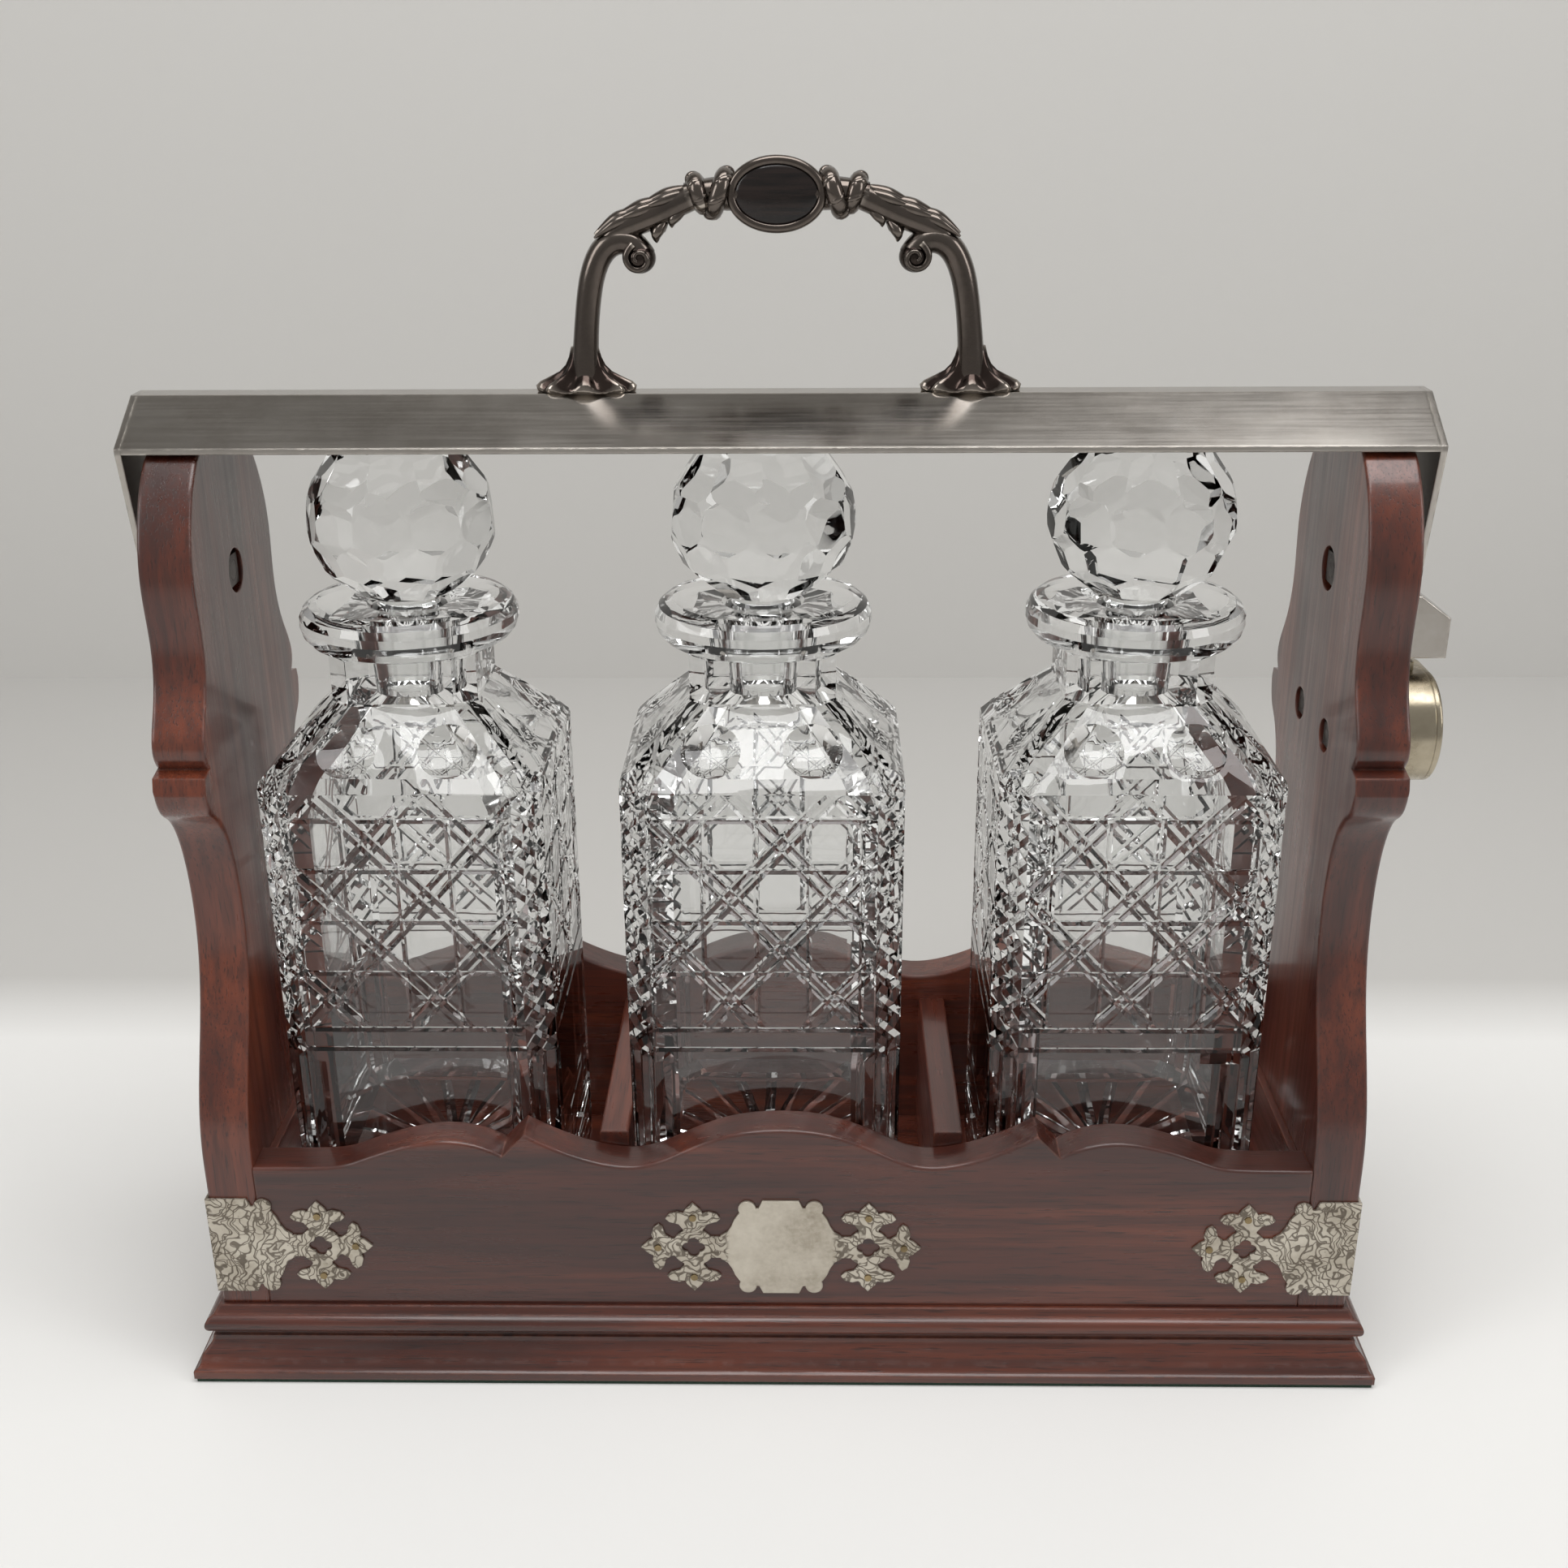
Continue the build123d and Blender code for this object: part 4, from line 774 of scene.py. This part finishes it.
bronzed, tree, shader = new_material("bronzed_steel")
finish = use_group(
    tree, tarnish, Clean=(0.060, 0.048, 0.042, 1.0), Dark=(0.022, 0.018, 0.016, 1.0), Amount=1.0
)
edge_mask = use_group(tree, edge_wear_and_highlight, Radius=0.0005)
tree.links.new(
    mix_colours(tree, calculate(tree, "MULTIPLY", edge_mask.outputs["Mask"], 0.6), finish.outputs["Color"], (0.20, 0.17, 0.15, 1.0)),
    shader.inputs["Base Color"],
)
tree.links.new(calculate(tree, "ADD", finish.outputs["Roughness"], 0.1), shader.inputs["Roughness"])
tree.links.new(edge_mask.outputs["Normal"], shader.inputs["Normal"])
shader.inputs["Metallic"].default_value = 0.9
for name in ("pivot_bolts", "pivot_nuts", "pivot_spacers", "lock_screws", "lock_nuts", "handle_nuts"):
    nodes[name].data.materials.clear()
    nodes[name].data.materials.append(bronzed)

# ---- Lock -----------------------------------------------------------------------------------
# A small plated brass case screwed to the right-hand panel, with a key plug and a lifting bolt.

lock_brass, tree, shader = new_material("plated_lock_brass")
finish = use_group(
    tree, tarnish, Clean=(0.42, 0.37, 0.28, 1.0), Dark=(0.16, 0.125, 0.075, 1.0), Amount=0.85
)
edge_mask = use_group(tree, edge_wear_and_highlight, Radius=0.0006)
tree.links.new(
    mix_colours(tree, calculate(tree, "MULTIPLY", edge_mask.outputs["Mask"], 0.7), finish.outputs["Color"], (0.62, 0.50, 0.27, 1.0)),
    shader.inputs["Base Color"],
)
tree.links.new(finish.outputs["Roughness"], shader.inputs["Roughness"])
tree.links.new(edge_mask.outputs["Normal"], shader.inputs["Normal"])
shader.inputs["Metallic"].default_value = 1.0
for name in ("lock_case", "lock_cover", "lock_plug", "lock_bolt"):
    nodes[name].data.materials.clear()
    nodes[name].data.materials.append(lock_brass)

# ---- Carrying handle ------------------------------------------------------------------------
# Cast in one piece and plated: spreading leaf feet bolted through the bar, plain bowed stems that
# curl into scrolls, leaf-wrapped arms, roped collars and an oval boss that holds a polished disc.

handle_metal, tree, shader = new_material("tarnished_cast_plate")
finish = use_group(
    tree, tarnish, Clean=(0.062, 0.046, 0.040, 1.0), Dark=(0.016, 0.011, 0.010, 1.0), Amount=0.95
)
# The crests are painted light: partly plate rubbed bright, partly a painted highlight.
crests = add_node(tree, "NewGeometry").outputs["Pointiness"]
rubbed_and_highlit = remap(tree, crests, 0.53, 0.60)
tree.links.new(
    mix_colours(tree, rubbed_and_highlit, finish.outputs["Color"], (0.46, 0.41, 0.36, 1.0)), shader.inputs["Base Color"]
)
tree.links.new(calculate(tree, "MULTIPLY", finish.outputs["Roughness"], 0.62), shader.inputs["Roughness"])
cast_skin = add_node(tree, "TexNoise", Vector=add_node(tree, "TexCoord").outputs["Object"], Scale=420.0, Detail=3.0)
skin = add_node(tree, "Bump", Height=cast_skin.outputs[0], Strength=0.12, Distance=0.0003)
tree.links.new(skin.outputs[0], shader.inputs["Normal"])
shader.inputs["Metallic"].default_value = 1.0


def add_tube(solid, points, radii, closed=False):
    """Adds a smooth tapering tube along the points, in millimetres, to the mesh being built."""
    curve = bpy.data.curves.new("tube", "CURVE")
    curve.dimensions = "3D"
    curve.bevel_depth = 1.0
    curve.bevel_resolution = 4
    curve.use_fill_caps = True
    curve.resolution_u = 8
    spline = curve.splines.new("NURBS")
    spline.points.add(len(points) - 1)
    for control, point, radius in zip(spline.points, points, radii):
        control.co = (*point, 1.0)
        control.radius = radius
    spline.use_endpoint_u = not closed
    spline.use_cyclic_u = closed
    spline.order_u = 3
    holder = bpy.data.objects.new("tube", curve)
    mesh = bpy.data.meshes.new_from_object(holder)
    solid.from_mesh(mesh)
    bpy.data.objects.remove(holder)
    bpy.data.curves.remove(curve)
    bpy.data.meshes.remove(mesh)


def add_ball(solid, centre, half_sizes, turn=0.0):
    matrix = Matrix.Translation(centre) @ Matrix.Rotation(turn, 4, "Y") @ Matrix.Diagonal((*half_sizes, 1.0))
    bmesh.ops.create_uvsphere(solid, u_segments=28, v_segments=16, radius=1.0, matrix=matrix)


def add_leaf(solid, points, width, thickness):
    """A tapering leaf along the points: a fat middle rib and a thinner lobe on each side of it."""
    for lean, share in ((0, 1.0), (-1, 0.72), (1, 0.72)):
        route = [(x, y + lean * width * fill, z - abs(lean) * thickness * 0.35)
                 for (x, y, z), fill in zip(points, (0.35, 0.75, 1.0, 0.6))]
        add_tube(solid, route, [thickness * share * swell for swell in (0.55, 1.0, 0.9, 0.18)])


def add_bell_foot(solid, x, z):
    """A bell-shaped foot, wider along the bar than across it, with eight soft lobes round its rim."""
    bell = bmesh.new()
    profile = (
        (0.0, 0.1), (13.2, 0.1), (13.6, 0.9), (12.4, 2.1), (9.6, 3.5), (7.2, 5.2), (5.6, 7.2), (4.6, 9.6), (3.9, 12.5), (0.0, 12.5)
    )
    line = [bell.verts.new((reach, 0, height)) for reach, height in profile]
    edges = [bell.edges.new(pair) for pair in zip(line, line[1:])]
    bmesh.ops.spin(
        bell, geom=[*line, *edges], cent=(0, 0, 0), axis=(0, 0, 1), angle=2 * pi, steps=64, use_merge=True
    )
    bmesh.ops.remove_doubles(bell, verts=bell.verts, dist=1e-4)
    for vertex in bell.verts:
        reach = hypot(vertex.co.x, vertex.co.y)
        lobe = cos(8 * atan2(vertex.co.y, vertex.co.x)) * min(1.0, max(0.0, (reach - 4.2) / 5.0))
        vertex.co.x *= 1 + 0.055 * lobe
        vertex.co.y *= 0.45 * (1 + 0.055 * lobe) + 0.45 * max(0.0, (5.0 - reach) / 5.0)
        vertex.co.z += 0.8 * lobe * (vertex.co.z > 0.5)
    bmesh.ops.translate(bell, vec=(x, 0, z), verts=bell.verts)
    bmesh.ops.recalc_face_normals(bell, faces=bell.faces)
    mesh = bpy.data.meshes.new("bell")
    bell.to_mesh(mesh)
    bell.free()
    solid.from_mesh(mesh)
    bpy.data.meshes.remove(mesh)


ridge, boss_z, foot_x = 299.2, 352.6, 54.4
casting = bmesh.new()
for side in (-1, 1):

    def at(out, depth, height):
        return (side * out, depth, ridge + height)

    # Foot and stem, which curls over into a scroll.
    add_bell_foot(casting, side * foot_x, ridge)
    add_tube(
        casting,
        [at(54.4, 0, 3), at(54.3, 0, 9), at(53.8, 0, 16), at(52.8, 0, 25), at(51.2, 0, 33), at(48.2, 0, 39.0),
         at(43.6, 0, 41.6), at(39.0, 0, 40.2), at(36.6, 0, 36.6)],
        [4.0, 3.8, 3.5, 3.45, 3.5, 3.6, 3.7, 3.7, 3.4],
    )
    add_ball(casting, at(38.0, 0, 36.6), (4.5, 4.3, 4.3))
    for depth in (-1, 1):
        curl = []
        for step in range(14):
            angle = radians(70) - step * radians(38)
            reach = 4.1 - step * 0.26
            curl.append(at(38.0 + reach * cos(angle), depth * (3.2 + 0.11 * step), 36.6 + reach * sin(angle)))
        add_tube(casting, curl, [1.15 - 0.055 * step for step in range(14)])

    # Leaf-wrapped arm up to the collars.
    add_tube(
        casting,
        [at(49.6, 0, 37.6), at(46.5, 0, 42.4), at(41.0, 0, 45.2), at(35.0, 0, 47.4), at(29.0, 0, 50.0), at(22.0, 0, 53.2)],
        [1.2, 2.9, 3.6, 3.7, 3.5, 3.7],
    )
    add_leaf(casting, [at(38.5, 0, 48.6), at(42.0, 0, 47.8), at(45.8, 0, 45.8), at(50.2, 0, 42.8)], 2.6, 2.1)
    add_leaf(casting, [at(31.5, 0, 51.6), at(35.5, 0, 50.6), at(39.5, 0, 49.0), at(44.6, 0, 47.4)], 2.7, 2.2)
    add_leaf(casting, [at(24.5, 0, 54.6), at(28.5, 0, 53.6), at(32.6, 0, 52.0), at(37.6, 0, 50.4)], 2.7, 2.1)
    add_leaf(casting, [at(30.5, 0, 47.4), at(32.2, 0, 45.4), at(33.4, 0, 43.4), at(33.0, 0, 41.6)], 2.0, 2.4)
    add_leaf(casting, [at(25.0, 0, 50.2), at(27.2, 0, 48.6), at(28.9, 0, 47.0), at(28.8, 0, 45.4)], 1.9, 2.1)

    # Two fat collars that lean away from each other, each wrapped with a rope.
    for out, radius, lean, strand in ((21.2, 3.3, 0.34, 2.5), (15.8, 4.6, -0.36, 2.6)):
        for turns, swing, thick, count in ((0, 0.0, strand, 16), (7, strand * 0.62, strand * 0.46, 70)):
            loop = []
            for step in range(count):
                angle, twist = step * 2 * pi / count, step * 2 * pi * turns / count
                reach = radius + swing * cos(twist)
                height = reach * cos(angle)
                loop.append((side * (out + lean * height) + swing * sin(twist), reach * sin(angle) * 0.94, boss_z + height))
            add_tube(casting, loop, [thick] * count, closed=True)
    add_tube(
        casting,
        [(side * 25.0, 0, boss_z - 0.6), (side * 20.0, 0, boss_z), (side * 14.0, 0, boss_z), (side * 9.0, 0, boss_z)],
        [3.4, 4.0, 4.6, 4.6],
    )

# Boss: a flattened oval with a raised rim round the disc.
add_ball(casting, (0, 0.4, boss_z), (13.4, 5.2, 9.6))
for half_width, half_height, depth, thick in ((12.6, 9.0, -3.6, 1.35), (11.6, 8.2, 3.4, 1.3)):
    ring = [
        (half_width * cos(step * pi / 8), depth, boss_z + half_height * sin(step * pi / 8)) for step in range(16)
    ]
    add_tube(casting, ring, [thick] * 16, closed=True)
bmesh.ops.scale(casting, vec=(MM, MM, MM), verts=casting.verts)
bmesh.ops.recalc_face_normals(casting, faces=casting.faces)
for face in casting.faces:
    face.smooth = True
mesh = bpy.data.meshes.new("cast_handle")
casting.to_mesh(mesh)
casting.free()
mesh.materials.append(handle_metal)
cast_handle = bpy.data.objects.new("cast_handle", mesh)
scene.collection.objects.link(cast_handle)
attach(cast_handle, "bar")
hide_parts("handle")

# ---- Boss disc ------------------------------------------------------------------------------
# A polished oval of near-black ebony, slightly domed and held by the boss's rim.

ebony, tree, shader = new_material("polished_ebony")
ebony_place = add_node(tree, "Mapping", Vector=add_node(tree, "TexCoord").outputs["Object"], Scale=(60.0, 60.0, 900.0))
ebony_grain = add_node(tree, "TexNoise", Vector=ebony_place.outputs[0], Scale=1.0, Detail=4.0)
tree.links.new(
    colour_ramp(tree, ebony_grain.outputs[0], [(0.3, (0.006, 0.005, 0.005)), (0.7, (0.020, 0.013, 0.011))]),
    shader.inputs["Base Color"],
)
tree.links.new(remap(tree, ebony_grain.outputs[0], 0.3, 0.7, 0.10, 0.20), shader.inputs["Roughness"])
shader.inputs["Specular IOR Level"].default_value = 0.35
disc = bmesh.new()
disc_place = Matrix.Translation((0, -3.4, boss_z)) @ Matrix.Diagonal((11.9, 2.5, 8.3, 1.0))
bmesh.ops.create_uvsphere(disc, u_segments=48, v_segments=24, radius=1.0, matrix=disc_place)
bmesh.ops.scale(disc, vec=(MM, MM, MM), verts=disc.verts)
for face in disc.faces:
    face.smooth = True
mesh = bpy.data.meshes.new("boss_disc")
disc.to_mesh(mesh)
disc.free()
mesh.materials.append(ebony)
boss_disc = bpy.data.objects.new("boss_disc", mesh)
scene.collection.objects.link(boss_disc)
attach(boss_disc, "bar")
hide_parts("handle_inset")
